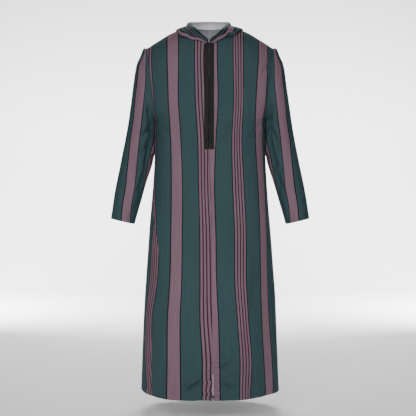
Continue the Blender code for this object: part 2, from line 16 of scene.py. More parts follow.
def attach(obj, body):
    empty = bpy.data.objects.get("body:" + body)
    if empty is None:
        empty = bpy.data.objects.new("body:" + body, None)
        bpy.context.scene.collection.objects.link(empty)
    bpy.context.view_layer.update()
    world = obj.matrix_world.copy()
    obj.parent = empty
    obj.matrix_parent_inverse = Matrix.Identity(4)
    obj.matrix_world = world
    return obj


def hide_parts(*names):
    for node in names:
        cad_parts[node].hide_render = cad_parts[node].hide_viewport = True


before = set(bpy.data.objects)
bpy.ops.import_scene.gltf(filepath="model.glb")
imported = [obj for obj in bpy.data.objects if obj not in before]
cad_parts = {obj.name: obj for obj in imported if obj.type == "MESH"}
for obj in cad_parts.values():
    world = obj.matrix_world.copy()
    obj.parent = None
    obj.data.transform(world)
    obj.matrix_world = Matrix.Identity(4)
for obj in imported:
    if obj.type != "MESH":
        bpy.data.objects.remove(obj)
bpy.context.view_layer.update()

bl_info = {
    "name": "Zip-up thobe",
    "version": (1, 0, 0),
    "blender": (4, 5, 0),
    "location": "View3D > Sidebar > Thobe",
    "description": "Builds the cloth, zip and studio of a hooded zip-up thobe",
    "category": "Object",
}

# Cloth and seams
CLOTH = 0.0015
SEAM_GAP = 0.0003
HALF_GAP = SEAM_GAP / 2
TAPE = 0.0010

# Nominal width of a panel and length of a sleeve, which turn a share of them into a distance
PANEL_RUN = 0.34
SLEEVE_RUN = 0.62

# Hem and cuffs: heights of the row of stitches and of the top of the turned-up cloth
HEM_STITCH = 0.018
HEM_TURN = 0.022
HEM_THICKER = 0.0005

# Grooves that stitches and seams press into the cloth: depth and half width
STITCH_GROOVE = 0.0007
STITCH_GROOVE_REACH = 0.0016
SEAM_GROOVE = 0.0009
SEAM_GROOVE_REACH = 0.0035
STITCH_RADIUS = 0.00026

# Small gathers beside the zip, the middle seam and the slit: spacing, height and half width
ZIP_GATHER_PITCH = 0.016
ZIP_GATHER = 0.0009
ZIP_GATHER_REACH = 0.007
SEAM_GATHER_PITCH = 0.0145
SEAM_GATHER = 0.0006
SEAM_GATHER_REACH = 0.008
SLIT_GATHER = 0.0042
SLIT_GATHER_REACH = 0.025

# Main heights
HEM = -1.334
ARMPIT = -0.336
YOKE = -0.200
SHOULDER_TIP = -0.064

# Neck, shoulders and armholes
NECK_HALF_WIDTH = 0.095
NECK_SIDE_Z = 0.010
NECK_FRONT_Z = -0.061
NECK_BACK_Z = 0.018
SHOULDER_HALF_WIDTH = 0.234
ARMPIT_HALF_WIDTH = 0.2055
SHOULDER_ROUND = 0.130
ROUND_POWER = 2.2
SECTION_POWER = 2.4
ARMHOLE_SHARE = 0.64

# Zip and hem slit
ZIP_END = -0.450
ZIP_HALF_WIDTH = 0.0175
ZIP_OPENING = 0.003
SLIT_TOP = -1.236
SLIT_OPENING = 0.0021
SLIT_FLARE = 0.014
SLIT_END_TACK = -1.3215
CHAIN_HALF_WIDTH = 0.0022
CHAIN_THICKNESS = 0.0016
ZIP_LIFT = CLOTH / 2 + SEAM_GAP + TAPE / 2
SLIDER_LENGTH = 0.011
SLIDER_WIDTH = 0.0095
TAB_LENGTH = 0.026
TAB_WIDTH = 0.0066
PLATE = 0.0014
ARCH_WIDTH = 0.0020
ARCH_HOLE = 0.0022
ARCH_BAR = 0.0009
PIN_RADIUS = 0.0006
PLATE_OUT = -TAPE / 2 - SEAM_GAP - PLATE
HINGE_Y = PLATE_OUT - ARCH_HOLE / 2
HINGE_Z = 0.0012
SLIDER_HEIGHT = NECK_FRONT_Z - 0.011
# Distance of the outer row of stitches of a tape from the zip's middle line
TAPE_STITCH = 0.0148

# Level sections of the body: half width, depth of front and back, how square the oval is, where the
# centre front line lies, and the turn of each side seam round the body in degrees.
Section = namedtuple(
    "Section", "height half_width front_depth back_depth squareness middle right_seam left_seam"
)
SECTIONS = (
    Section(-1.335, 0.2560, 0.184, 0.172, 2.08, 0.0105, 54, 97),
    Section(-1.157, 0.2505, 0.174, 0.162, 2.12, 0.0085, 56, 97),
    Section(-1.007, 0.2446, 0.163, 0.150, 2.18, 0.0060, 53, 96),
    Section(-0.932, 0.2400, 0.157, 0.144, 2.22, 0.0055, 48, 95),
    Section(-0.838, 0.2330, 0.150, 0.136, 2.26, 0.0050, 50, 93),
    Section(-0.748, 0.2260, 0.144, 0.129, 2.30, 0.0050, 58, 91),
    Section(-0.650, 0.2175, 0.138, 0.122, 2.34, 0.0040, 77, 90),
    Section(-0.460, 0.2060, 0.129, 0.113, 2.40, -0.0030, 90, 90),
    Section(-0.336, 0.2055, 0.124, 0.109, 2.40, -0.0034, 90, 90),
    Section(-0.200, 0.2055, 0.118, 0.106, 2.40, -0.0034, 90, 90),
    Section(-0.100, 0.2055, 0.110, 0.099, 2.40, -0.0034, 90, 90),
    Section(0.050, 0.2055, 0.096, 0.082, 2.40, -0.0034, 90, 90),
)

ShoulderPoint = namedtuple("ShoulderPoint", "across height")
SHOULDER_LINE = (
    ShoulderPoint(0.000, 0.040),
    ShoulderPoint(0.095, 0.010),
    ShoulderPoint(0.128, -0.002),
    ShoulderPoint(0.150, -0.012),
    ShoulderPoint(0.170, -0.024),
    ShoulderPoint(0.200, -0.042),
    ShoulderPoint(0.234, -0.064),
    ShoulderPoint(0.300, -0.106),
)

# Soft upright folds of the skirt: turn round the body in degrees (0 is the front, + the wearer's
# left), half width in degrees, lift at the hem and the height where the fold runs out.
SkirtFold = namedtuple("SkirtFold", "turn half_width lift top")
SKIRT_FOLDS = (
    SkirtFold(-64, 14, 0.0030, -0.70),
    SkirtFold(-30, 14, 0.0040, -0.78),
    SkirtFold(-6, 10, -0.0030, -1.05),
    SkirtFold(24, 15, 0.0050, -0.70),
    SkirtFold(52, 13, -0.0040, -0.80),
    SkirtFold(72, 14, 0.0030, -0.62),
    SkirtFold(122, 16, 0.0060, -0.60),
    SkirtFold(150, 14, -0.0050, -0.72),
    SkirtFold(178, 15, 0.0060, -0.66),
    SkirtFold(-150, 14, -0.0045, -0.76),
    SkirtFold(-122, 16, 0.0055, -0.64),
)

# How far the hem rises, or drops where less than 0, at a turn round the body.
HemPoint = namedtuple("HemPoint", "turn rise")
HEM_LINE = (
    HemPoint(-180, 0.0000),
    HemPoint(-97, 0.0030),
    HemPoint(-75, 0.0020),
    HemPoint(-65, 0.0005),
    HemPoint(-51, -0.0030),
    HemPoint(-42, -0.0050),
    HemPoint(-20, -0.0035),
    HemPoint(0, -0.0010),
    HemPoint(20, -0.0020),
    HemPoint(40, -0.0015),
    HemPoint(66, 0.0000),
    HemPoint(79, 0.0000),
    HemPoint(97, 0.0030),
    HemPoint(180, 0.0000),
)

# Sleeve, from armhole to cuff: the outer and inner edge as seen from the front, half its depth
# from front to back, and how far its middle lies forward.
SleeveRing = namedtuple("SleeveRing", "along outer_x outer_z inner_x inner_z half_depth forward")
SLEEVE_RINGS = (
    SleeveRing(0.00, 0.2340, -0.0640, 0.2055, -0.3360, 0.074, 0.000),
    SleeveRing(0.04, 0.2480, -0.0640, 0.2078, -0.3440, 0.074, 0.000),
    SleeveRing(0.09, 0.2590, -0.0900, 0.2078, -0.3560, 0.074, -0.001),
    SleeveRing(0.15, 0.2740, -0.1250, 0.2078, -0.3720, 0.074, -0.002),
    SleeveRing(0.24, 0.2850, -0.1900, 0.2078, -0.4020, 0.073, -0.004),
    SleeveRing(0.36, 0.2965, -0.2700, 0.2083, -0.4420, 0.070, -0.005),
    SleeveRing(0.50, 0.3110, -0.3690, 0.2162, -0.4930, 0.065, -0.003),
    SleeveRing(0.66, 0.3320, -0.4820, 0.2345, -0.5520, 0.059, 0.004),
    SleeveRing(0.83, 0.3530, -0.5940, 0.2575, -0.6320, 0.052, 0.015),
    SleeveRing(1.00, 0.3665, -0.6990, 0.2810, -0.7190, 0.044, 0.031),
)

# The inside of a sleeve rests on the body down to this height, this far off it.
SLEEVE_REST_END = -0.474
SLEEVE_REST_GAP = 0.0008

# Soft folds of a sleeve: place along it, turn round it in degrees (0 is the outer edge, 90 the
# front), slant in degrees of turn over the whole length, half length, half width, lift.
SleeveFold = namedtuple("SleeveFold", "along turn slant half_length half_width lift")
SLEEVE_FOLDS = (
    SleeveFold(0.22, 128, 150, 0.20, 20, -0.0050),
    SleeveFold(0.40, 150, 170, 0.18, 18, -0.0040),
    SleeveFold(0.62, 108, 190, 0.16, 20, -0.0035),
    SleeveFold(0.78, 140, 160, 0.14, 20, 0.0030),
    SleeveFold(0.24, 232, -150, 0.20, 20, -0.0050),
    SleeveFold(0.55, 250, -180, 0.18, 20, -0.0040),
    SleeveFold(0.74, 215, -160, 0.15, 18, 0.0035),
)
# Finer creases of a sleeve, only in the look.
SLEEVE_CREASES = (
    SleeveFold(0.16, 118, 260, 0.10, 9, -0.0016),
    SleeveFold(0.30, 112, 300, 0.10, 8, 0.0014),
    SleeveFold(0.34, 138, 280, 0.11, 9, -0.0018),
    SleeveFold(0.47, 100, 320, 0.09, 9, -0.0013),
    SleeveFold(0.52, 140, 260, 0.10, 9, 0.0015),
    SleeveFold(0.66, 128, 300, 0.09, 10, -0.0014),
    SleeveFold(0.82, 96, 280, 0.08, 11, -0.0012),
    SleeveFold(0.90, 132, 240, 0.07, 12, 0.0012),
    SleeveFold(0.33, 236, -280, 0.11, 9, -0.0017),
    SleeveFold(0.46, 250, -300, 0.10, 9, 0.0014),
    SleeveFold(0.64, 226, -280, 0.10, 10, -0.0015),
    SleeveFold(0.86, 250, -250, 0.08, 12, -0.0012),
)

# Hood, from the zip round to the middle of the back. The fold is where the cloth turns back up,
# seen from the front or the back; the crease is a furrow in the layer above it, a share of the way
# to the fold; the crown is the top of that layer; the mouth is the edge round the face. Lifts are
# distances out from the body.
HoodSection = namedtuple(
    "HoodSection",
    "along fold_x fold_z fold_lift roll_lift crease_share crease_lift"
    " crown_x crown_y crown_z mouth_x mouth_y mouth_z",
)
HOOD_SECTIONS = (
    HoodSection(
        0.00, 0.0090, -0.0675, 0.0042, 0.0064, 0.50, 0.0068,
        0.0036, -0.1112, -0.0590, 0.0028, -0.1060, -0.0535,
    ),
    HoodSection(
        0.08, 0.0260, -0.0610, 0.0060, 0.0095, 0.50, 0.0100,
        0.0150, -0.1130, -0.0485, 0.0090, -0.1075, -0.0450,
    ),
    HoodSection(
        0.18, 0.0560, -0.0530, 0.0068, 0.0130, 0.55, 0.0110,
        0.0340, -0.1010, -0.0280, 0.0215, -0.0880, -0.0330,
    ),
    HoodSection(
        0.30, 0.0860, -0.0450, 0.0070, 0.0145, 0.58, 0.0112,
        0.0560, -0.0740, -0.0040, 0.0350, -0.0600, -0.0140,
    ),
    HoodSection(
        0.40, 0.1095, -0.0290, 0.0064, 0.0105, 0.60, 0.0084,
        0.0735, -0.0400, 0.0130, 0.0480, -0.0290, 0.0040,
    ),
    HoodSection(
        0.50, 0.1260, -0.0020, 0.0054, 0.0072, 0.60, 0.0076,
        0.0860, 0.0020, 0.0235, 0.0590, 0.0020, 0.0200,
    ),
    HoodSection(
        0.60, 0.1240, -0.0580, 0.0070, 0.0115, 0.60, 0.0120,
        0.0890, 0.0360, 0.0330, 0.0700, 0.0340, 0.0370,
    ),
    HoodSection(
        0.72, 0.1120, -0.1180, 0.0075, 0.0250, 0.55, 0.0310,
        0.0880, 0.0760, 0.0390, 0.0800, 0.0620, 0.0520,
    ),
    HoodSection(
        0.86, 0.0700, -0.1860, 0.0080, 0.0300, 0.50, 0.0390,
        0.0600, 0.1290, 0.0420, 0.0440, 0.1080, 0.0640,
    ),
    HoodSection(
        0.95, 0.0260, -0.2110, 0.0085, 0.0310, 0.50, 0.0410,
        0.0215, 0.1430, 0.0420, 0.0160, 0.1235, 0.0695,
    ),
    HoodSection(
        1.00, 0.0000, -0.2120, 0.0085, 0.0310, 0.50, 0.0410,
        0.0000, 0.1430, 0.0420, 0.0000, 0.1240, 0.0700,
    ),
)
# The wearer's left half of the hood turns back nearer the seam than the right one does, and lies
# a little closer to the neck.
LEFT_FOLD_SHARE = 0.72
LEFT_CROWN_SHARE = 0.91
# Waves of the rolled edge: where along the neck, over what half length, and how much further it hangs.
HoodWave = namedtuple("HoodWave", "along half_length share")
RIGHT_HOOD_WAVES = (
    HoodWave(0.10, 0.06, -0.08),
    HoodWave(0.20, 0.07, 0.10),
    HoodWave(0.29, 0.06, -0.05),
    HoodWave(0.385, 0.07, 0.17),
    HoodWave(0.47, 0.05, -0.05),
    HoodWave(0.66, 0.08, 0.05),
    HoodWave(0.82, 0.09, -0.04),
)
LEFT_HOOD_WAVES = (
    HoodWave(0.12, 0.06, 0.10),
    HoodWave(0.21, 0.06, -0.06),
    HoodWave(0.30, 0.07, 0.10),
    HoodWave(0.40, 0.06, -0.04),
    HoodWave(0.62, 0.08, 0.06),
    HoodWave(0.80, 0.09, -0.05),
)
HOOD_CLEARANCE = 0.0042
HOOD_TURN = 0.0030
# Places of the controls of the layer under the fold; then come the fold, roll, crease, crown, mouth.
HOOD_UNDER = (0.0, 0.07, 0.15, 0.24, 0.34, 0.45, 0.57, 0.70, 0.84, 1.0)
HOOD_FOLD_STEP = 11
HOOD_ROLL_STEP = 14
HOOD_CROWN_STEP = 16
HOOD_MOUTH_STEP = 17
# How many columns from the zip show the striped print on their inside instead of the pale reverse, as painted
# shade at the bottom of the V
HOOD_DARK_INSIDE_COLUMNS = 18
# Where along the neck the hood passes over the shoulder seam, and over what length it is evened out
HOOD_OVER_SEAM = 0.475
HOOD_EVEN_REACH = 0.08
HOOD_EVEN_ROUNDS = 10

# Creases in the look: both ends as seen from the front, half width and lift.
Crease = namedtuple("Crease", "from_x from_z to_x to_z half_width lift")
FRONT_CREASES = (
    Crease(-0.096, -1.332, -0.030, -1.290, 0.008, 0.0078),
    Crease(-0.092, -1.352, -0.034, -1.314, 0.007, -0.0084),
    Crease(-0.150, -1.372, -0.118, -1.330, 0.009, -0.0052),
    Crease(0.034, -1.252, 0.070, -1.228, 0.006, 0.0065),
    Crease(0.036, -1.266, 0.074, -1.244, 0.006, -0.0078),
    Crease(0.040, -1.298, 0.080, -1.276, 0.007, 0.0052),
    Crease(0.044, -1.314, 0.088, -1.352, 0.007, -0.0091),
    Crease(0.054, -1.298, 0.098, -1.332, 0.008, 0.0072),
    Crease(0.014, -0.690, 0.030, -0.636, 0.006, -0.0034),
    Crease(0.018, -0.668, 0.040, -0.622, 0.006, 0.0026),
    Crease(0.048, -0.382, 0.072, -0.352, 0.006, 0.0034),
    Crease(0.050, -0.396, 0.076, -0.366, 0.006, -0.0034),
    Crease(-0.190, -0.350, -0.146, -0.404, 0.009, -0.0044),
    Crease(-0.186, -0.372, -0.150, -0.430, 0.009, 0.0031),
    Crease(0.192, -0.346, 0.146, -0.400, 0.009, -0.0044),
    Crease(0.188, -0.368, 0.152, -0.424, 0.009, 0.0029),
    Crease(-0.156, -0.930, -0.122, -0.780, 0.014, -0.0039),
    Crease(0.132, -1.060, 0.152, -0.850, 0.015, 0.0044),
    Crease(-0.060, -1.190, -0.072, -0.990, 0.014, -0.0039),
    Crease(0.092, -0.800, 0.082, -0.620, 0.012, -0.0031),
    Crease(0.196, -0.160, 0.224, -0.110, 0.008, -0.0044),
)
# The same for the sleeves' fronts, where sleeve and body rub and the elbow bends.
SLEEVE_FRONT_CREASES = (
    Crease(-0.256, -0.400, -0.211, -0.336, 0.007, -0.0081),
    Crease(-0.268, -0.392, -0.222, -0.322, 0.008, 0.0047),
    Crease(-0.264, -0.470, -0.214, -0.392, 0.008, -0.0065),
    Crease(-0.274, -0.606, -0.240, -0.516, 0.007, -0.0073),
    Crease(-0.288, -0.600, -0.252, -0.508, 0.008, 0.0044),
    Crease(-0.300, -0.690, -0.272, -0.640, 0.008, -0.0047),
    Crease(0.212, -0.312, 0.262, -0.456, 0.008, -0.0081),
    Crease(0.226, -0.306, 0.276, -0.430, 0.008, 0.0047),
    Crease(0.222, -0.440, 0.262, -0.520, 0.008, -0.0068),
    Crease(0.246, -0.520, 0.280, -0.612, 0.008, -0.0065),
    Crease(0.262, -0.520, 0.296, -0.604, 0.008, 0.0039),
    Crease(0.240, -0.080, 0.226, -0.190, 0.009, -0.0057),
    Crease(-0.240, -0.090, -0.226, -0.190, 0.009, -0.0052),
    Crease(-0.227, -0.270, -0.217, -0.385, 0.010, -0.0170),
    Crease(-0.221, -0.390, -0.245, -0.540, 0.009, -0.0140),
    Crease(-0.252, -0.540, -0.276, -0.680, 0.007, -0.0060),
    Crease(0.226, -0.260, 0.216, -0.375, 0.010, -0.0170),
    Crease(0.220, -0.380, 0.243, -0.530, 0.009, -0.0140),
    Crease(0.250, -0.530, 0.274, -0.670, 0.007, -0.0060),
)
# The same for the front of the hood's rolled edge.
HOOD_CREASES = (
    Crease(-0.118, 0.001, -0.088, -0.010, 0.0040, -0.0048),
    Crease(-0.094, -0.008, -0.060, -0.020, 0.0036, -0.0054),
    Crease(-0.066, -0.018, -0.036, -0.029, 0.0034, -0.0045),
    Crease(-0.104, -0.014, -0.080, -0.024, 0.0040, 0.0034),
    Crease(0.016, -0.024, 0.042, -0.006, 0.0034, -0.0048),
    Crease(0.040, -0.007, 0.072, -0.002, 0.0036, -0.0054),
    Crease(0.066, -0.003, 0.108, 0.008, 0.0040, -0.0054),
    Crease(0.052, -0.014, 0.086, -0.012, 0.0040, 0.0032),
)
# The same for the back, at the cloth's own sideways distance and height.
BACK_CREASES = (
    Crease(-0.178, -0.352, -0.130, -0.420, 0.010, -0.0022),
    Crease(0.176, -0.356, 0.128, -0.430, 0.011, -0.0020),
    Crease(-0.150, -0.540, -0.090, -0.610, 0.015, -0.0022),
    Crease(0.140, -0.560, 0.070, -0.640, 0.016, -0.0020),
    Crease(-0.070, -1.240, -0.052, -1.000, 0.018, 0.0024),
    Crease(0.084, -1.200, 0.070, -0.940, 0.020, -0.0026),
    Crease(0.010, -1.300, 0.022, -1.130, 0.015, -0.0020),
    Crease(-0.150, -1.310, -0.132, -1.160, 0.015, -0.0022),
)

# Stripes, as places across the cloth from the start of a wide mauve stripe to the next one
WIDE_END = 0.045
CLUSTER_START = 0.101
CLUSTER_END = 0.148
STRIPE_REPEAT = 0.204
EDGE_LINE = 0.0032
THIN_STRIPE = 0.0067
THIN_LINE = 0.0045

# The viewpoint, and the width that it takes in at the garment's middle plane
VIEW_DISTANCE = 2.8
VIEW_HEIGHT = -0.66
VIEW_SIDE = -0.0075
VIEW_WIDTH = 1.56
SENSOR_WIDTH = 36.0
# The second light's share of the key light's power, and the even light all round
SECOND_LIGHT_SHARE = 0.55
WORLD_STRENGTH = 0.12

# Where the stripes' edges run on each front, read off the photograph by height and then adjusted:
# distance from the middle as seen from the viewpoint, and how much wider than cut the stripes
# lie past the last edge. The marks say which edges they are.
FrontEdges = namedtuple("FrontEdges", "height first second third fourth side_spread")
RIGHT_FRONT_MARKS = (CLUSTER_START, WIDE_END, 0.0)
RIGHT_FRONT_EDGES = (
    FrontEdges(-1.344, -0.032, -0.109, -0.165, 0.0, 1.40),
    FrontEdges(-1.232, -0.032, -0.110, -0.163, 0.0, 1.36),
    FrontEdges(-1.082, -0.040, -0.111, -0.162, 0.0, 1.20),
    FrontEdges(-0.932, -0.040, -0.105, -0.153, 0.0, 1.10),
    FrontEdges(-0.748, -0.041, -0.103, -0.149, 0.0, 1.10),
    FrontEdges(-0.576, -0.045, -0.102, -0.147, 0.0, 1.42),
    FrontEdges(-0.407, -0.048, -0.108, -0.149, 0.0, 1.37),
    FrontEdges(-0.332, -0.0525, -0.113, -0.1535, 0.0, 1.22),
    FrontEdges(-0.257, -0.057, -0.118, -0.158, 0.0, 1.00),
    FrontEdges(-0.107, -0.060, -0.117, -0.163, 0.0, 1.12),
)
LEFT_FRONT_MARKS = (WIDE_END, CLUSTER_START, CLUSTER_END, STRIPE_REPEAT)
LEFT_FRONT_EDGES = (
    FrontEdges(-1.344, 0.039, 0.109, 0.152, 0.206, 0.93),
    FrontEdges(-1.232, 0.037, 0.110, 0.157, 0.200, 1.02),
    FrontEdges(-1.082, 0.033, 0.101, 0.145, 0.192, 0.93),
    FrontEdges(-0.932, 0.026, 0.091, 0.137, 0.188, 0.84),
    FrontEdges(-0.748, 0.023, 0.090, 0.136, 0.185, 0.90),
    FrontEdges(-0.576, 0.018, 0.083, 0.128, 0.178, 0.98),
    FrontEdges(-0.407, 0.023, 0.080, 0.120, 0.168, 1.00),
    FrontEdges(-0.257, 0.031, 0.087, 0.126, 0.170, 0.98),
    FrontEdges(-0.107, 0.028, 0.085, 0.126, 0.179, 0.96),
)
# The same for a sleeve: both edges of the stripe down its front and the start of the next cluster.
SleeveEdges = namedtuple("SleeveEdges", "height outer inner cluster")
SLEEVE_EDGES = (
    SleeveEdges(-0.707, 0.335, 0.300, 0.262),
    SleeveEdges(-0.651, 0.330, 0.294, 0.256),
    SleeveEdges(-0.576, 0.318, 0.281, 0.249),
    SleeveEdges(-0.501, 0.310, 0.274, 0.235),
    SleeveEdges(-0.463, 0.306, 0.270, 0.227),
    SleeveEdges(-0.407, 0.300, 0.264, 0.213),
    SleeveEdges(-0.332, 0.289, 0.255, 0.196),
    SleeveEdges(-0.257, 0.282, 0.247, 0.180),
    SleeveEdges(-0.182, 0.274, 0.2405, 0.170),
    SleeveEdges(-0.130, 0.268, 0.2405, 0.170),
    SleeveEdges(-0.107, 0.259, 0.2400, 0.170),
    SleeveEdges(-0.080, 0.246, 0.2390, 0.170),
)
# Place across the stripes along the sleeve's outer edge, which those of its back are counted from,
# and how far from that edge the back's stripes still follow the front's
SLEEVE_CREST_MARK = -0.042
SLEEVE_CREST_REACH = 0.045
# Where the hood's stripes start and end between its crown and its fold, as shares, with their marks.
HoodEdges = namedtuple("HoodEdges", "along first second third fourth")
RIGHT_HOOD_MARKS = (0.016, 0.0275, 0.043, 0.086)
RIGHT_HOOD_EDGES = (
    HoodEdges(0.00, 0.30, 0.36, 0.50, 1.16),
    HoodEdges(0.10, 0.36, 0.42, 0.62, 1.16),
    HoodEdges(0.18, 0.38, 0.44, 0.74, 1.12),
    HoodEdges(0.30, 0.28, 0.38, 0.72, 1.02),
    HoodEdges(0.40, 0.21, 0.33, 0.70, 0.95),
    HoodEdges(0.50, 0.20, 0.36, 0.80, 1.12),
    HoodEdges(0.60, 0.15, 0.26, 0.42, 0.85),
    HoodEdges(0.72, 0.10, 0.17, 0.27, 0.53),
    HoodEdges(0.86, 0.067, 0.115, 0.18, 0.36),
    HoodEdges(1.00, 0.060, 0.106, 0.165, 0.33),
)
LEFT_HOOD_MARKS = (0.016, 0.052, 0.080, 0.120)
LEFT_HOOD_EDGES = (
    HoodEdges(0.00, 0.45, 1.05, 1.30, 1.60),
    HoodEdges(0.10, 0.45, 1.05, 1.30, 1.60),
    HoodEdges(0.18, 0.42, 0.98, 1.30, 1.60),
    HoodEdges(0.24, 0.30, 0.78, 1.20, 1.50),
    HoodEdges(0.30, 0.19, 0.58, 1.00, 1.40),
    HoodEdges(0.40, 0.10, 0.52, 1.00, 1.40),
    HoodEdges(0.50, 0.08, 0.42, 0.90, 1.30),
    HoodEdges(0.60, 0.15, 0.50, 0.78, 1.17),
    HoodEdges(0.72, 0.10, 0.32, 0.50, 0.75),
    HoodEdges(0.86, 0.067, 0.215, 0.33, 0.50),
    HoodEdges(1.00, 0.060, 0.200, 0.31, 0.46),
)
# How much wider than cut the stripes of the back lie, by height.
BackSpread = namedtuple("BackSpread", "height spread")
BACK_SPREAD = (
    BackSpread(-1.300, 1.13),
    BackSpread(-1.200, 1.06),
    BackSpread(-1.060, 1.00),
    BackSpread(-0.930, 1.00),
    BackSpread(-0.750, 0.94),
    BackSpread(-0.200, 0.93),
)
BACK_MIDDLE_MARK = (CLUSTER_START + CLUSTER_END) / 2

# How finely the looks are divided
NECK_COLUMNS = 14
FRONT_SIDE_COLUMNS = 60
BACK_SIDE_COLUMNS = 34
SKIRT_ROWS = 290
CHEST_ROWS = 28
YOKE_ROWS = 46
SLEEVE_ROUND = 96
SLEEVE_ROWS = 132
HOOD_COLUMNS = 108


def reading(table, column, at):
    """Value of a column between the rows of a table, on a smooth curve, level past both ends."""
    keys, values = table_column(table, column)
    if at <= keys[0]:
        return values[0]
    if at >= keys[-1]:
        return values[-1]
    after = 1
    while keys[after] <= at:
        after += 1
    before = after - 1

    def slope(i):
        low = max(i - 1, 0)
        high = min(i + 1, len(keys) - 1)
        return (values[high] - values[low]) / (keys[high] - keys[low])

    span = keys[after] - keys[before]
    t = (at - keys[before]) / span
    start = slope(before) * span
    end = slope(after) * span
    change = values[after] - values[before]
    return values[before] + t * start + t * t * (
        3 * change - 2 * start - end + t * (start + end - 2 * change)
    )


@lru_cache(maxsize=None)
def table_column(table, column):
    return tuple(row[0] for row in table), tuple(getattr(row, column) for row in table)


def smooth(share):
    """0 to 1 with level ends."""
    share = min(max(share, 0.0), 1.0)
    return share * share * (3 - 2 * share)


def between(start, end, share):
    return start + (end - start) * share


def signed_power(value, power):
    return math.copysign(abs(value) ** power, value)


# Body


@lru_cache(maxsize=200000)
def section(column, height):
    return reading(SECTIONS, column, height)


@lru_cache(maxsize=200000)
def shoulder_height(across):
    return reading(SHOULDER_LINE, "height", abs(across))


def armhole_across(height):
    """Distance of the armhole seam from the middle."""
    share = (min(height, SHOULDER_TIP) - ARMPIT) / (SHOULDER_TIP - ARMPIT)
    return between(ARMPIT_HALF_WIDTH, SHOULDER_HALF_WIDTH, max(share, 0) ** 1.7)


def armhole_share(height):
    """Depth of the armhole seam as a share of the body's depth there: it opens up from the armpit."""
    rise = (height - ARMPIT) / (0.35 * (SHOULDER_TIP - ARMPIT))
    rise = min(max(rise, 0.0), 1.0)
    return ARMHOLE_SHARE * math.sqrt(1 - (1 - rise) ** 2)


def full_half_width(height):
    """Half width of the section that the armhole seam cuts off above the armpit."""
    if height <= ARMPIT:
        return section("half_width", height)
    kept = 1 - armhole_share(height) ** SECTION_POWER
    return armhole_across(height) / kept ** (1 / SECTION_POWER)


def shoulder_rounding(below):
    """Share of the full depth at a drop below the shoulder seam."""
    share = min(max(below / SHOULDER_ROUND, 0.0), 1.0)
    return (1 - (1 - share) ** ROUND_POWER) ** (1 / ROUND_POWER)


def body_depth(x, height, facing):
    """How far the body stands out from the middle plane; facing is -1 for the front, 1 for the back."""
    full = section("front_depth" if facing < 0 else "back_depth", height)
    inside = 1 - (abs(x) / full_half_width(height)) ** SECTION_POWER
    round_part = max(inside, 0.0) ** (1 / SECTION_POWER)
    return full * round_part * shoulder_rounding(shoulder_height(x) - height)


def body_point(x, height, facing, lift=0.0):
    """A point of the body's cloth, moved out from it by lift. Past the shoulder seam it stays on it."""
    crest = shoulder_height(x)
    height = min(height, crest)
    point = Vector((x, facing * body_depth(x, height, facing), height))
    if not lift:
        return point
    step = 0.0015
    level = min(height, crest - step)
    across = (body_depth(x + step, level, facing) - body_depth(x - step, level, facing)) / (2 * step)
    upward = (body_depth(x, level + step, facing) - body_depth(x, level - step, facing)) / (2 * step)
    normal = Vector((-across, facing, -upward)).normalized()
    crest_run = (shoulder_height(x + step) - shoulder_height(x - step)) / (2 * step)
    crest_normal = Vector((-crest_run, 0, 1)).normalized()
    normal = normal.lerp(crest_normal, smooth(1 - (crest - height) / 0.006)).normalized()
    return point + normal * lift


def skirt_lift(turn, height):
    lift = 0.0
    for fold in SKIRT_FOLDS:
        away = abs((turn - fold.turn + 180) % 360 - 180) / fold.half_width
        if away < 1:
            lift += fold.lift * smooth((fold.top - height) / (fold.top - HEM)) * smooth(1 - away)
    return lift


def ring_point(turn, height, lift=0.0):
    """A point of the body below the armholes at a turn round it in degrees."""
    angle = math.radians(turn)
    width = section("half_width", height)
    depth = section("front_depth" if abs(turn) < 90 else "back_depth", height)
    power = 2 / section("squareness", height)
    x = width * signed_power(math.sin(angle), power)
    y = -depth * signed_power(math.cos(angle), power)
    outward = Vector((x / width**2, y / depth**2, 0)).normalized()
    round_turn = (turn + 180) % 360 - 180
    rise = reading(HEM_LINE, "rise", round_turn) * smooth((height - SLIT_TOP) / (HEM - SLIT_TOP))
    return Vector((x, y, height + rise)) + outward * (skirt_lift(turn, height) + lift)


def seam_turn(side, height):
    return section("left_seam" if side > 0 else "right_seam", height)


def middle_turn(height):
    """Turn of the centre front line, which wanders a little from the zip down to the hem."""
    middle = section("middle", height)
    share = abs(middle) / section("half_width", height)
    return math.copysign(math.degrees(math.asin(share ** (section("squareness", height) / 2))), middle)


def front_edge_gap(height):
    """Half the gap between the two fronts at the centre line."""
    if height > ZIP_END:
        return between(HALF_GAP, ZIP_OPENING, smooth((height - ZIP_END) / 0.006))
    if height < SLIT_TOP:
        return between(HALF_GAP, SLIT_OPENING, smooth((SLIT_TOP - height) / SLIT_FLARE))
    return HALF_GAP


def neckline_height(across, facing):
    share = min(abs(across) / NECK_HALF_WIDTH, 1.0)
    if facing < 0:
        return between(NECK_FRONT_Z, NECK_SIDE_Z, share**1.15)
    return between(NECK_BACK_Z, NECK_SIDE_Z, share**2.5)


def top_height(across, facing):
    if abs(across) < NECK_HALF_WIDTH:
        return neckline_height(across, facing)
    return shoulder_height(across)


NECK_SHARE = math.asin((NECK_HALF_WIDTH / SHOULDER_HALF_WIDTH) ** (SECTION_POWER / 2)) * 2 / math.pi


def panel_columns(side_columns):
    """Shares of a panel's width, closest at its seams, with one column at the side of the neck."""
    neck = [NECK_SHARE * math.sin(math.pi / 2 * i / NECK_COLUMNS) for i in range(1, NECK_COLUMNS)]
    rest = [between(NECK_SHARE, 1.0, i / side_columns) for i in range(side_columns)]
    return [0.0, 0.006, 0.014] + neck + rest + [0.992, 1.0]


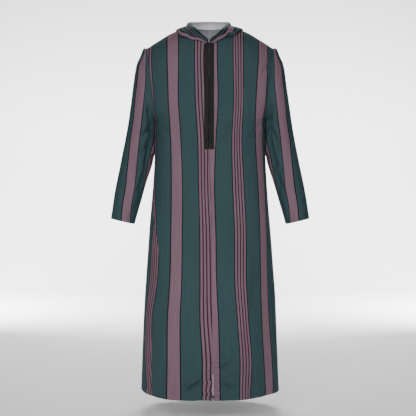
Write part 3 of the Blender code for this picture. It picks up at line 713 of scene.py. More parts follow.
def panel_rows():
    """Level heights, closest at the hem, then shares of the way up to the shoulder seam and neckline."""
    hem = [HEM + rise for rise in (0.0, 0.0012, 0.0035, 0.007, 0.011, 0.015, 0.018, 0.0195, 0.021, 0.023)]
    skirt = [between(HEM + 0.027, ARMPIT, i / SKIRT_ROWS) for i in range(SKIRT_ROWS)]
    chest = [between(ARMPIT, YOKE, (i / CHEST_ROWS) ** 1.2) for i in range(CHEST_ROWS)]
    yoke = [math.sin(math.pi / 2 * i / YOKE_ROWS) for i in range(YOKE_ROWS + 1)]
    return hem + skirt + chest, yoke


def crease_lift(creases, x, z):
    """Lift of the creases at a place seen from the front or back."""
    lift = 0.0
    for crease in creases:
        run_x = crease.to_x - crease.from_x
        run_z = crease.to_z - crease.from_z
        length = math.hypot(run_x, run_z)
        along = ((x - crease.from_x) * run_x + (z - crease.from_z) * run_z) / length**2
        if -0.1 < along < 1.1:
            off = abs((x - crease.from_x) * run_z - (z - crease.from_z) * run_x) / length
            if off < 2.4 * crease.half_width:
                ends = smooth((along + 0.1) / 0.4) * smooth((1.1 - along) / 0.4)
                lift += crease.lift * ends * math.exp(-((off / crease.half_width) ** 2))
    return lift


def hem_lift(from_hem):
    """The turned-up hem is thicker, with a stitched groove near its top."""
    groove = math.exp(-(((from_hem - HEM_STITCH) / STITCH_GROOVE_REACH) ** 2))
    return HEM_THICKER * smooth((HEM_TURN - from_hem) / 0.003) - STITCH_GROOVE * groove


def seam_pucker(side, height):
    """Rise and fall of the small gathers beside the middle seam and its slit, between -1 and 1."""
    drift = 4.0 * noise.noise(Vector((side, 0, height * 18)))
    strength = 0.7 + 0.8 * noise.noise(Vector((0, side, height * 40)))
    return math.sin(height * 2 * math.pi / SEAM_GATHER_PITCH + drift) * strength


def panel_lift(side, facing, share, place, height):
    """What the look adds to the solid's surface: creases, a soft unevenness, seams and the hem."""
    x = place.x
    from_middle = share * PANEL_RUN
    from_seam = (1 - share) * PANEL_RUN
    uneven = 0.0016 * noise.noise(Vector((x * 7, height * 3.1, 4.0 * facing)))
    uneven += 0.0006 * noise.noise(Vector((x * 23, height * 9, 9.0 + facing)))
    if facing < 0:
        creased = crease_lift(FRONT_CREASES, *seen_from_front(place))
    else:
        creased = crease_lift(BACK_CREASES, x, height)
    lift = (creased + uneven) * smooth(from_seam / 0.04)
    lift -= SEAM_GROOVE * math.exp(-((from_seam / SEAM_GROOVE_REACH) ** 2))
    if facing < 0:
        if height > ZIP_END - 0.02:
            lift *= smooth((from_middle - 0.018) / 0.02)
            drift = 3 * noise.noise(Vector((side, 5, height * 15)))
            pucker = math.sin(height * 2 * math.pi / ZIP_GATHER_PITCH + drift)
            lift += ZIP_GATHER * pucker * math.exp(-(((from_middle - 0.023) / ZIP_GATHER_REACH) ** 2))
        else:
            near_slit = smooth((SLIT_TOP + 0.09 - height) / 0.07)
            reach = between(SEAM_GATHER_REACH, SLIT_GATHER_REACH, near_slit)
            deep = between(SEAM_GATHER, SLIT_GATHER, near_slit)
            deep *= between(0.3, 1.0, smooth(from_middle / 0.006))
            lift += seam_pucker(side, height) * deep * math.exp(-((from_middle / reach) ** 2))
            lift -= SEAM_GROOVE * math.exp(-((from_middle / SEAM_GROOVE_REACH) ** 2))
    return lift + hem_lift(height - HEM)


def panel_point(side, facing, share, row):
    """A point of a front (facing -1) or the back (1) at a share of its width and a row from the hem."""
    level_rows, yoke = PANEL_ROWS
    across_share = math.sin(share * math.pi / 2) ** (2 / SECTION_POWER)
    if row < len(level_rows):
        height = level_rows[row]
        if height <= ARMPIT:
            return skirt_point(side, facing, share, height)
    else:
        top = top_height(SHOULDER_HALF_WIDTH * across_share, facing)
        height = between(YOKE, top, yoke[row - len(level_rows)])
    edge = armhole_across(height) * side
    middle = front_middle(side, height) if facing < 0 else 0.0
    x = between(middle, edge, across_share)
    last = row == len(level_rows) + YOKE_ROWS
    lift = panel_lift(side, facing, share, body_point(x, height, facing), height)
    lift *= smooth((top_height(x, facing) - height) / 0.03)
    if last or share == 1:
        lift = 0.0
    point = body_point(x, height, facing, lift)
    if last and share >= NECK_SHARE - 0.00001:
        point.y = facing * HALF_GAP
    elif share == 1:
        point.y = facing * max(abs(point.y), HALF_GAP)
    return point


def front_middle(side, height):
    """Sideways place of a front's edge at the zip or the middle seam."""
    return section("middle", height) + side * front_edge_gap(height)


def skirt_point(side, facing, share, height):
    """A point of a front or the back below the armpit."""
    seam = side * seam_turn(side, height)
    start = middle_turn(height) if facing < 0 else side * 180
    turn = between(start, seam, share)
    base = ring_point(turn, height)
    lift = panel_lift(side, facing, share, base, height)
    point = ring_point(turn, height, lift)
    if share == 1:
        inner = ring_point(between(start, seam, 0.98), height, lift)
        return point + (inner - point).normalized() * HALF_GAP
    if facing < 0:
        gap = front_edge_gap(height) * smooth(1 - share * PANEL_RUN / 0.02)
        return point + Vector((side * gap, 0, 0))
    return point


# Stripes


def seen_from_front(point):
    """Where a point shows from 2.8 m in front, as sideways distance and height."""
    nearer = VIEW_DISTANCE / (VIEW_DISTANCE + point.y)
    return point.x * nearer, VIEW_HEIGHT + (point.z - VIEW_HEIGHT) * nearer


def run_lengths(points):
    """Distance of each point of a row from its first one."""
    total = 0.0
    lengths = [total]
    for before, after in zip(points, points[1:]):
        total += (after - before).length
        lengths.append(total)
    return lengths


def crossing(points, lengths, edge):
    """Distance along a row at which it meets an edge, given as a function of the height, or None."""
    away = [x - edge(z) for x, z in map(seen_from_front, points)]
    for i in range(len(away) - 1):
        if away[i] * away[i + 1] <= 0 and away[i] != away[i + 1]:
            return between(lengths[i], lengths[i + 1], away[i] / (away[i] - away[i + 1]))
    return None


def front_stripes(side, points):
    """Place across the cloth's stripes of each point of a row of a front, from the middle outwards."""
    table = LEFT_FRONT_EDGES if side > 0 else RIGHT_FRONT_EDGES
    marks = LEFT_FRONT_MARKS if side > 0 else RIGHT_FRONT_MARKS
    lengths = run_lengths(points)
    anchors = []
    for column, mark in zip(FrontEdges._fields[1:], marks):
        at = crossing(points, lengths, lambda z, column=column: reading(table, column, z))
        if at is not None:
            anchors.append((at, mark))
    spread = reading(table, "side_spread", points[-1].z)
    anchors.append((anchors[-1][0] + STRIPE_REPEAT * spread, anchors[-1][1] + side * STRIPE_REPEAT))
    places = []
    for point, length in zip(points, lengths):
        before, after = anchors[0], anchors[1]
        for low, high in zip(anchors, anchors[1:]):
            if length >= low[0]:
                before, after = low, high
        share = (length - before[0]) / (after[0] - before[0])
        place = between(before[1], after[1], share)
        if point.z < SLIT_TOP + 0.05:
            near_slit = smooth((SLIT_TOP + 0.05 - point.z) / 0.04)
            wander = noise.noise(Vector((side, 3.0, point.z * 75)))
            place += 0.0034 * near_slit * wander * math.exp(-((length / 0.034) ** 2))
        places.append(place)
    return places


def back_stripes(side, points):
    """The same for a half row of the back, from its middle outwards."""
    lengths = run_lengths(points)
    places = []
    for point, length in zip(points, lengths):
        spread = reading(BACK_SPREAD, "spread", point.z)
        places.append(BACK_MIDDLE_MARK + side * length / spread)
    return places


# Sleeves


def sleeve_lift(along, turn, folds):
    lift = 0.0
    for fold in folds:
        beyond = abs(along - fold.along) / fold.half_length
        if beyond < 1:
            centre = fold.turn + fold.slant * (along - fold.along)
            away = abs((turn - centre + 180) % 360 - 180) / fold.half_width
            lift += fold.lift * smooth(1 - beyond) * smooth(1 - away)
    return lift


def armhole_point(side, turn):
    """A point of the armhole seam: turn 0 is the shoulder, 90 the front, 180 the armpit."""
    angle = math.radians(turn)
    middle = (SHOULDER_TIP + ARMPIT) / 2
    height = middle + (SHOULDER_TIP - ARMPIT) / 2 * math.cos(angle)
    facing = -1 if turn % 360 < 180 else 1
    across = armhole_across(height)
    depth = body_depth(across, min(height, shoulder_height(across)), facing)
    clear = between(2 * SEAM_GAP, SEAM_GAP + 1.2 * CLOTH, (1 - math.cos(angle)) / 2)
    return Vector((side * (across + clear), facing * depth, height))


def sleeve_point(side, along, turn):
    angle = math.radians(turn)

    def value(column, at):
        return reading(SLEEVE_RINGS, column, at)

    def oval(at, half_depth):
        outer = Vector((side * value("outer_x", at), 0, value("outer_z", at)))
        inner = Vector((side * value("inner_x", at), 0, value("inner_z", at)))
        point = (outer + inner) / 2 + (outer - inner) / 2 * math.cos(angle)
        point.y = -half_depth * math.sin(angle) - value("forward", at)
        return point

    point = oval(along, value("half_depth", along))
    held = 1 - smooth(along / 0.30)
    if held:
        point += (armhole_point(side, turn) - oval(0.0, SLEEVE_RINGS[0].half_depth)) * held
    outward = Vector((side * math.cos(angle), -math.sin(angle), 0.25 * math.cos(angle))).normalized()
    lift = sleeve_lift(along, turn, SLEEVE_FOLDS)
    fine = sleeve_lift(along, turn, SLEEVE_CREASES)
    uneven_at = Vector((along * 4.5, side * 3 + math.cos(angle) * 1.6, math.sin(angle) * 1.6))
    fine += 0.0013 * noise.noise(uneven_at)
    if 0 < turn < 180:
        fine += crease_lift(SLEEVE_FRONT_CREASES, *seen_from_front(point)) * smooth(math.sin(angle) / 0.35)
    fine *= smooth(along / 0.05)
    fine += hem_lift((1 - along) * SLEEVE_RUN) * smooth(along / 0.5)
    fine -= 0.0008 * math.exp(-(((turn % 360 - 180) / 3.0) ** 2)) * smooth(along / 0.05)
    point += outward * (lift + fine)
    # Below the armpit the inside of the sleeve rests against the body.
    if math.cos(angle) < 0 and along < 0.6:
        beside = side * (section("half_width", point.z) + SLEEVE_REST_GAP)
        held = smooth((-math.cos(angle) - 0.90) / 0.08) * smooth((point.z - SLEEVE_REST_END) / 0.030)
        if abs(point.x) > abs(beside):
            point.x = between(point.x, beside, held * smooth(along / 0.05))
    return point


def sleeve_runs(side, ring, along):
    """Distance of each point of a ring from its outer edge, square to the length of the sleeve."""
    near = min(along, 0.94)
    start = sleeve_middle(side, near)
    grain = (sleeve_middle(side, near + 0.06) - start).normalized()
    total = 0.0
    runs = [total]
    for before, after in zip(ring, ring[1:]):
        step = after - before
        total += (step - grain * step.dot(grain)).length
        runs.append(total)
    outer = runs[len(ring) // 2]
    return [run - outer for run in runs]


def sleeve_middle(side, along):
    """Middle of a sleeve's section at a place along it."""
    x = (reading(SLEEVE_RINGS, "outer_x", along) + reading(SLEEVE_RINGS, "inner_x", along)) / 2
    z = (reading(SLEEVE_RINGS, "outer_z", along) + reading(SLEEVE_RINGS, "inner_z", along)) / 2
    return Vector((side * x, -reading(SLEEVE_RINGS, "forward", along), z))


def sleeve_stripes(side, rings, shares):
    """Place across the stripes of each point of each ring, from the stripe that runs down its front.

    Near the armhole the rings are cut by it, so there the stripe's seen edges are used directly.
    """
    half = len(rings[0]) // 2
    found = []
    runs = []
    for ring, along in zip(rings, shares):
        run = sleeve_runs(side, ring, along)
        front = [Vector((point.x * side, point.y, point.z)) for point in ring[half:]]
        edges = [
            crossing(front, run[half:], lambda z, name=name: reading(SLEEVE_EDGES, name, z))
            for name in ("outer", "inner", "cluster")
        ]
        if edges[2] is None:
            edges[2] = run[-1] - 0.004
        runs.append(run)
        whole = edges[0] is not None and edges[1] is not None and edges[1] - edges[0] > 0.03
        found.append(edges if whole and along > 0.2 else None)
    known = [i for i, item in enumerate(found) if item]
    first_whole = next(i for i, along in enumerate(shares) if along > 0.3)
    places = []
    for i, (ring, run, along) in enumerate(zip(rings, runs, shares)):
        outer, inner, cluster = found[min(known, key=lambda k: abs(k - i))]
        cluster = max(cluster, inner + 0.02)
        head = 1 - smooth((along - 0.16) / 0.14)
        front = []
        for column in range(half, len(ring)):
            if run[column] < outer:
                place = between(SLEEVE_CREST_MARK, 0.0, run[column] / outer)
            elif run[column] < inner:
                place = between(0.0, WIDE_END, (run[column] - outer) / (inner - outer))
            elif run[column] < cluster:
                place = between(WIDE_END, CLUSTER_START, (run[column] - inner) / (cluster - inner))
            else:
                place = CLUSTER_START + run[column] - cluster
            if head:
                place = between(place, head_stripe(side, ring[column]), head)
            front.append(place)
        # On the back the stripes lie as wide as cut and run along the sleeve, also over its head.
        back = []
        for run_back in runs[max(i, first_whole)][:half]:
            near_crest = math.exp(-((run_back / SLEEVE_CREST_REACH) ** 2))
            back.append(run_back + between(SLEEVE_CREST_MARK, front[0], near_crest))
        places.append(back + front)
    return places


def head_stripe(side, point):
    """Place across the stripes on the front of a sleeve's head, kept to the stripe and its ground."""
    x, z = seen_from_front(point)
    outer = reading(SLEEVE_EDGES, "outer", z)
    inner = reading(SLEEVE_EDGES, "inner", z)
    place = WIDE_END * (outer - x * side) / (outer - inner)
    return min(max(place, CLUSTER_END - STRIPE_REPEAT + 0.004), CLUSTER_START - 0.004)


# Hood


@lru_cache(maxsize=None)
def hood_controls(along, side):
    """The points that a strip of the hood runs through, from the neck seam to the mouth edge."""
    facing = -1 if along <= 0.5 else 1
    quarter = math.pi / 2 * (along / 0.5 if facing < 0 else (1 - along) / 0.5)
    across = NECK_HALF_WIDTH * math.sin(quarter)
    if facing < 0:
        across = between(ZIP_OPENING, NECK_HALF_WIDTH, math.sin(quarter))
    middle = section("middle", NECK_FRONT_Z) * (1 - smooth(along / 0.3))
    height = neckline_height(across, facing)

    def value(column):
        return reading(HOOD_SECTIONS, column, along)

    reach = 1.0
    if side > 0:
        reach = between(1.0, LEFT_FOLD_SHARE, smooth(along / 0.16))
        reach = between(reach, 1.0, smooth((along - 0.35) / 0.3))

    wave = hood_wave(side, along)

    def over(share, lift):
        out = share * reach * (1 + wave * smooth((share - 0.5) / 0.5))
        x = between(across, value("fold_x"), out)
        z = between(height, value("fold_z"), out)
        return body_point(middle + side * x, z, facing, lift)

    def place(name):
        x, y, z = (value(f"{name}_{axis}") for axis in "xyz")
        x *= LEFT_CROWN_SHARE if side > 0 else 1.0
        return Vector((middle + side * x, y, z))

    fold_lift = value("fold_lift")
    roll_lift = value("roll_lift")
    seam_lift = CLOTH + 2 * SEAM_GAP
    clear = min(HOOD_CLEARANCE, between(seam_lift, fold_lift, 0.5))
    length = math.hypot(value("fold_x") - across, value("fold_z") - height) * reach
    turn = max(0.05, min(HOOD_TURN / length, 0.4))
    under = [over(share * (1 - turn), between(seam_lift, clear, smooth(share / 0.1))) for share in HOOD_UNDER]
    return (
        *under,
        over(1 - turn * 0.3, between(clear, fold_lift, 0.5)),
        over(1.00, fold_lift),
        over(1 - turn * 0.3, between(roll_lift, fold_lift, 0.40)),
        over(1 - turn * 1.2, between(roll_lift, fold_lift, 0.06)),
        over(0.5 + 0.5 * value("crease_share"), roll_lift),
        over(value("crease_share") * 0.9, value("crease_lift")),
        place("crown"),
        place("mouth"),
    )


def hood_wave(side, along):
    """How much further the rolled edge hangs at a place along it, as a share: it is wavy, not straight."""
    lift = 0.0
    for wave in LEFT_HOOD_WAVES if side > 0 else RIGHT_HOOD_WAVES:
        lift += wave.share * smooth(1 - abs(along - wave.along) / wave.half_length)
    return lift


def hood_point(side, along, step):
    """A point on the smooth curve through a strip's controls, counted in controls along it."""
    controls = hood_controls(along, side)
    index = min(int(step), len(controls) - 2)
    share = step - index
    a = controls[max(index - 1, 0)]
    b = controls[index]
    c = controls[index + 1]
    d = controls[min(index + 2, len(controls) - 1)]
    curve = 2 * b + (c - a) * share + (2 * a - 5 * b + 4 * c - d) * share**2
    curve += (3 * b - a - 3 * c + d) * share**3
    point = curve / 2
    if along < 0.5 and step > HOOD_ROLL_STEP:
        held = smooth((step - HOOD_ROLL_STEP) / 0.6) * smooth((HOOD_CROWN_STEP - step) / 0.7)
        held *= smooth((0.44 - along) / 0.10)
        point.y -= crease_lift(HOOD_CREASES, *seen_from_front(point)) * held
    return point


def hood_stripe(side, along, share):
    """Place across the stripes at a share of the way from the crown to the fold."""
    table = LEFT_HOOD_EDGES if side > 0 else RIGHT_HOOD_EDGES
    marks = LEFT_HOOD_MARKS if side > 0 else RIGHT_HOOD_MARKS
    edges = [reading(table, column, along) for column in HoodEdges._fields[1:]]
    anchors = [(0.0, 0.0), *zip(edges, marks)]
    low, high = anchors[0], anchors[1]
    for before, after in zip(anchors, anchors[1:]):
        if share >= before[0]:
            low, high = before, after
    return between(low[1], high[1], (share - low[0]) / (high[0] - low[0]))


def hood_steps():
    """Places of the rows along a strip, closest at its turns and at the edge round the face."""
    under = [i / 2 for i in range(18)]
    turn = [HOOD_FOLD_STEP - 2 + i / 4 for i in range(16)]
    over = [HOOD_ROLL_STEP - 1 + i / 9 for i in range(27)]
    mouth = [HOOD_CROWN_STEP + i / 10 for i in range(10)]
    return under + turn + over + mouth + [HOOD_MOUTH_STEP - 0.015, HOOD_MOUTH_STEP]


def hood_along(column):
    """Place along the neck seam of a column: they stand closest at the side of the neck."""
    away = 2 * column / HOOD_COLUMNS - 1
    return 0.5 + 0.5 * signed_power(away, 1.3)


def even_out(strips, steps):
    """Evens out the hood where it passes over the shoulder seam, which the body's curve turns sharply."""
    for _ in range(HOOD_EVEN_ROUNDS):
        for column in range(1, HOOD_COLUMNS):
            held = smooth(1 - abs(hood_along(column) - HOOD_OVER_SEAM) / HOOD_EVEN_REACH) / 2
            if held:
                for row, step in enumerate(steps):
                    if step > 1:
                        mean = (strips[column - 1][row] + strips[column + 1][row]) / 2
                        strips[column][row] = strips[column][row].lerp(mean, held)


# Making objects


def linear_colour(text):
    """Linear colour of an sRGB hex value."""
    parts = [int(text[i : i + 2], 16) / 255 for i in (1, 3, 5)]
    return tuple(part / 12.92 if part <= 0.04045 else ((part + 0.055) / 1.055) ** 2.4 for part in parts)


def make_object(name, bm, materials, smooth_shading=True):
    mesh = bpy.data.meshes.new(name)
    bm.to_mesh(mesh)
    bm.free()
    if smooth_shading:
        mesh.shade_smooth()
    for material in materials:
        mesh.materials.append(material)
    obj = bpy.data.objects.new(name, mesh)
    bpy.context.scene.collection.objects.link(obj)
    return obj


def make_sheet(name, points, places, wall, materials, flip=False, tube=False):
    """Cloth from rows of points with their place in the cloth; its inside takes the second material."""
    rows = len(points) - 1
    columns = len(points[0]) - 1
    bm = bmesh.new()
    cloth_map = bm.loops.layers.uv.new("cloth")
    bmesh.ops.create_grid(bm, x_segments=columns, y_segments=rows, size=0.5)
    spots = {}
    for vertex in bm.verts:
        column = round((vertex.co.x + 0.5) * columns)
        row = round((vertex.co.y + 0.5) * rows)
        spots[vertex] = places[row][column]
        vertex.co = points[row][column]
    for face in bm.faces:
        for loop in face.loops:
            loop[cloth_map].uv = spots[loop.vert]
    if flip:
        bmesh.ops.reverse_faces(bm, faces=bm.faces)
    if tube:
        bmesh.ops.remove_doubles(bm, verts=bm.verts, dist=0.00001)
    obj = make_object(name, bm, materials)
    solidify = obj.modifiers.new("wall", "SOLIDIFY")
    solidify.thickness = wall
    solidify.offset = 0
    if len(materials) > 1:
        solidify.material_offset = 1
    return obj


PANEL_ROWS = panel_rows()


# Materials


def add_node(material, kind, inputs=None, **settings):
    """Adds a node with its settings; inputs are values or the sockets that feed them."""
    tree = material.node_tree
    node = tree.nodes.new(kind)
    for name, value in settings.items():
        setattr(node, name, value)
    for name, value in (inputs or {}).items():
        socket = node.inputs[name]
        if isinstance(value, bpy.types.NodeSocket):
            tree.links.new(value, socket)
        else:
            socket.default_value = value
    return node


def start_material(name, **values):
    """A material with its shader's own sockets set."""
    material = bpy.data.materials.new(name)
    material.use_nodes = True
    shader = material.node_tree.nodes["Principled BSDF"]
    for socket, value in values.items():
        shader.inputs[socket.replace("_", " ")].default_value = value
    return material, shader


def cloth_place(material):
    """Sockets with the place across and along the cloth."""
    place = add_node(material, "ShaderNodeUVMap", uv_map="cloth")
    parts = add_node(material, "ShaderNodeSeparateXYZ", {0: place.outputs[0]})
    return place.outputs[0], parts.outputs[0], parts.outputs[1]


def stretched_noise(material, vector, across, along, detail=2.0):
    """Noise with its own fineness across and along the cloth, in grains to the metre."""
    scaled = add_node(
        material, "ShaderNodeVectorMath", {0: vector, 1: (across, along, 1.0)}, operation="MULTIPLY"
    )
    grain = add_node(
        material, "ShaderNodeTexNoise", {"Vector": scaled.outputs[0], "Scale": 1.0, "Detail": detail}
    )
    return grain.outputs["Fac"]


def spread_value(material, value, low, high):
    """Spreads a noise's middle range between two values."""
    node = add_node(
        material,
        "ShaderNodeMapRange",
        {"Value": value, "From Min": 0.25, "From Max": 0.75, "To Min": low, "To Max": high},
    )
    return node.outputs[0]


def multiply(material, first, second):
    """The product of two values or sockets."""
    node = add_node(material, "ShaderNodeMath", {0: first, 1: second}, operation="MULTIPLY")
    return node.outputs[0]


def tinted(material, colour, strength):
    """A colour made lighter and darker by a value."""
    node = add_node(
        material, "ShaderNodeVectorMath", {0: colour, "Scale": strength}, operation="SCALE"
    )
    return node.outputs[0]


def tint_shader(material, shader, plain_colour, strength):
    """Gives the shader one colour, made lighter and darker by a value."""
    base = add_node(material, "ShaderNodeRGB")
    base.outputs[0].default_value = (*plain_colour, 1)
    colour = tinted(material, base.outputs[0], strength)
    material.node_tree.links.new(colour, shader.inputs["Base Color"])


def woven_bump(material, across, along, height_noise, thread, strength):
    """Threads over and under each other, on top of a softer unevenness."""
    waves = []
    for socket in (across, along):
        turned = multiply(material, socket, 2 * math.pi / thread)
        waves.append(add_node(material, "ShaderNodeMath", {0: turned}, operation="SINE").outputs[0])
    checks = multiply(material, waves[0], waves[1])
    height = add_node(
        material, "ShaderNodeMath", {0: checks, 1: 0.35, 2: height_noise}, operation="MULTIPLY_ADD"
    )
    bump = add_node(
        material,
        "ShaderNodeBump",
        {"Height": height.outputs[0], "Strength": strength, "Distance": 0.0004},
    )
    return bump.outputs[0]


def cluster_marks(start):
    """Edges of a cluster of four thin mauve stripes with three burgundy lines between them."""
    marks = [(start, "line"), (start + EDGE_LINE, "mauve")]
    at = start + EDGE_LINE + THIN_STRIPE
    for _ in range(3):
        marks.append((at, "burgundy"))
        marks.append((at + THIN_LINE, "mauve"))
        at += THIN_LINE + THIN_STRIPE
    return marks + [(at, "line"), (at + EDGE_LINE, "green")]


BODY_STRIPES = (
    (0.0, "line"),
    (EDGE_LINE, "mauve"),
    (WIDE_END - EDGE_LINE, "line"),
    (WIDE_END, "green"),
    *cluster_marks(CLUSTER_START),
)
# The hood's stripes are counted from its crown outwards; its two halves are cut apart from each other.
# Their dark lines are drawn wider than the body's: the print's edge lines plus painted shade along the hood's
# folds and its edge round the face.
HOOD_REPEAT = 0.230
RIGHT_HOOD_STRIPES = (
    (0.000, "line"),
    (0.005, "green"),
    (0.013, "line"),
    (0.018, "mauve"),
    (0.026, "line"),
    (0.030, "green"),
    (0.039, "line"),
    (0.046, "mauve"),
    (0.080, "line"),
    (0.088, "green"),
    *cluster_marks(0.140),
)
LEFT_HOOD_STRIPES = (
    (0.000, "line"),
    (0.005, "green"),
    (0.012, "line"),
    (0.019, "mauve"),
    (0.048, "line"),
    (0.056, "green"),
    *cluster_marks(0.140),
)


def striped_cotton(name, stripes, repeat, settings):
    """Mid-weight cotton, printed on one side: matt, with a little nap and slubs along the warp."""
    material, shader = start_material(
        name, Roughness=0.82, Sheen_Weight=0.01, Sheen_Roughness=0.45, Specular_IOR_Level=0.05
    )
    vector, across, along = cloth_place(material)
    wrapped = add_node(
        material, "ShaderNodeMath", {0: across, 1: repeat, 2: 0.0}, operation="WRAP"
    ).outputs[0]
    share = multiply(material, wrapped, 1 / repeat)
    ramp = add_node(material, "ShaderNodeValToRGB", {0: share})
    ramp.color_ramp.interpolation = "CONSTANT"
    colours = {
        "green": settings.green,
        "mauve": settings.mauve,
        "burgundy": settings.burgundy,
        "line": settings.edge_line,
    }
    elements = ramp.color_ramp.elements
    elements.remove(elements[1])
    for i, (at, colour) in enumerate(stripes):
        element = elements[0] if i == 0 else elements.new(at / repeat)
        element.position = at / repeat
        element.color = (*colours[colour], 1)
    # Warp streaks are drawn 3 mm apart, coarser than threads, so that they still show from a step away.
    streaks = spread_value(material, stretched_noise(material, vector, 330, 9, 3.0), 0.90, 1.10)
    slubs = spread_value(material, stretched_noise(material, vector, 90, 500, 2.0), 0.96, 1.04)
    patches = spread_value(material, stretched_noise(material, vector, 7, 4, 2.0), 0.95, 1.05)
    strength = multiply(material, multiply(material, streaks, slubs), patches)
    colour = tinted(material, ramp.outputs[0], strength)
    material.node_tree.links.new(colour, shader.inputs["Base Color"])
    grain = stretched_noise(material, vector, 420, 60, 3.0)
    bump = woven_bump(material, across, along, grain, settings.thread, 0.35)
    material.node_tree.links.new(bump, shader.inputs["Normal"])
    return material


def body_reverse_painted_shade(settings):
    """Unprinted side of the cloth: pale grey, a little fuzzier, painted darker than the hood's copy as shade
    inside the body.
    """
    return plain_cotton("cotton cloth, grey reverse", settings.reverse, settings.thread)


def hood_reverse(settings):
    """The same unprinted side on the hood, painted paler than the body's copy as painted light inside the
    hood.
    """
    return plain_cotton("cotton cloth of the hood, pale reverse", settings.hood_reverse, settings.thread)


def slit_reverse_painted_shade(settings):
    """Narrow strip of the cloth's unprinted side behind the hem's slit, painted a darker grey as the shade
    inside the slit.
    """
    return plain_cotton("cotton facing tape, grey", settings.facing, settings.thread)


def plain_cotton(name, plain_colour, thread):
    """Plainly woven cotton of one colour, unpressed, with soft patches and a fuzzy surface."""
    material, shader = start_material(name, Roughness=0.88, Sheen_Weight=0.12, Specular_IOR_Level=0.2)
    vector, across, along = cloth_place(material)
    streaks = spread_value(material, stretched_noise(material, vector, 300, 200, 3.0), 0.93, 1.07)
    patches = spread_value(material, stretched_noise(material, vector, 12, 9, 2.0), 0.95, 1.05)
    tint_shader(material, shader, plain_colour, multiply(material, streaks, patches))
    grain = stretched_noise(material, vector, 500, 300, 3.0)
    bump = woven_bump(material, across, along, grain, thread, 0.3)
    material.node_tree.links.new(bump, shader.inputs["Normal"])
    return material


def zip_tape_weave(settings):
    """Woven polyester tape: black, close ribs along its length, dull."""
    material, shader = start_material(
        "woven polyester zip tape", Roughness=0.72, Sheen_Weight=0.1, Specular_IOR_Level=0.35
    )
    vector, across, along = cloth_place(material)
    # Ribs are 2.4 mm apart, coarser than the tape's own, so that they still show.
    turned = multiply(material, across, 2 * math.pi / 0.0024)
    rib = add_node(material, "ShaderNodeMath", {0: turned}, operation="SINE").outputs[0]
    # The colour goes lighter and darker with each rib: painted light and shade on the ribs.
    rib_painted_light = add_node(
        material, "ShaderNodeMapRange", {"Value": rib, "From Min": -1.0, "To Min": 0.75, "To Max": 1.35}
    ).outputs[0]
    specks = spread_value(material, stretched_noise(material, vector, 500, 700, 2.0), 0.9, 1.1)
    tint_shader(material, shader, settings.tape, multiply(material, rib_painted_light, specks))
    bump = woven_bump(material, across, along, rib, 0.0008, 0.5)
    material.node_tree.links.new(bump, shader.inputs["Normal"])
    return material


def object_noise(material, grains, detail=2.0):
    """Noise in the piece's own coordinates, in grains to the metre."""
    coordinates = add_node(material, "ShaderNodeTexCoord")
    grain = add_node(
        material,
        "ShaderNodeTexNoise",
        {"Vector": coordinates.outputs["Object"], "Scale": grains, "Detail": detail},
    )
    return grain.outputs["Fac"]


def solid_finish(name, colour, grains, low, high, bump_strength, **values):
    """A moulded, cast or spun finish: one colour with fine unevenness in colour and height."""
    material, shader = start_material(name, **values)
    grain = object_noise(material, grains, 3.0)
    tint_shader(material, shader, colour, spread_value(material, grain, low, high))
    bump = add_node(
        material, "ShaderNodeBump", {"Height": grain, "Strength": bump_strength, "Distance": 0.0001}
    )
    material.node_tree.links.new(bump.outputs[0], shader.inputs["Normal"])
    return material


def named_material(name, maker, *values):
    """The material of that name, made the first time it is asked for."""
    return bpy.data.materials.get(name) or maker(*values)


def body_cloth():
    settings = bpy.context.scene.thobe_cloth
    printed = named_material(
        "striped cotton cloth", striped_cotton, "striped cotton cloth", BODY_STRIPES, STRIPE_REPEAT, settings
    )
    return [printed, named_material("cotton cloth, grey reverse", body_reverse_painted_shade, settings)]


def hood_cloth(side):
    settings = bpy.context.scene.thobe_cloth
    name = "striped cotton cloth, left hood" if side > 0 else "striped cotton cloth, right hood"
    stripes = LEFT_HOOD_STRIPES if side > 0 else RIGHT_HOOD_STRIPES
    printed = named_material(name, striped_cotton, name, stripes, HOOD_REPEAT, settings)
    pale = named_material("cotton cloth of the hood, pale reverse", hood_reverse, settings)
    # The third slot gives the hood's inside next to the zip the striped print, as painted shade.
    return [printed, pale, printed, printed]


# Settings


def colour_setting(name, description, value):
    return bpy.props.FloatVectorProperty(
        name=name,
        description=description,
        subtype="COLOR",
        size=3,
        min=0,
        max=1,
        default=linear_colour(value),
    )


def length_setting(name, description, value):
    return bpy.props.FloatProperty(
        name=name, description=description, unit="LENGTH", default=value, precision=4
    )


def power_setting(name, description, value):
    return bpy.props.FloatProperty(name=name, description=description, unit="POWER", default=value)


class ThobeCloth(bpy.types.PropertyGroup):
    green: colour_setting("Green", "Ground colour of the cloth", "#3A5054")
    mauve: colour_setting("Mauve", "Wide and thin stripes", "#7F6672")
    burgundy: colour_setting("Burgundy", "Lines between the thin stripes", "#3C2631")
    edge_line: colour_setting("Edge line", "Thin dark line at each stripe's edge", "#1C171E")
    # Painted shade: the body's copy of the unprinted side is made darker than the hood's, for the shade
    # inside the body.
    reverse: colour_setting("Reverse", "Unprinted side of the cloth", "#C6C6CB")
    # Painted light: the hood's copy of the unprinted side is made paler than the body's, to stand in for the
    # light inside the hood.
    hood_reverse: colour_setting("Hood reverse", "Unprinted side of the hood", "#F4F4F8")
    # Painted shade: the strip behind the slit is the cloth's unprinted side, made darker for the shade in the
    # slit.
    facing: colour_setting("Facing", "Strip behind the slit of the hem", "#B4AEB2")
    thread: length_setting("Thread spacing", "Distance between two threads of the weave", 0.0009)


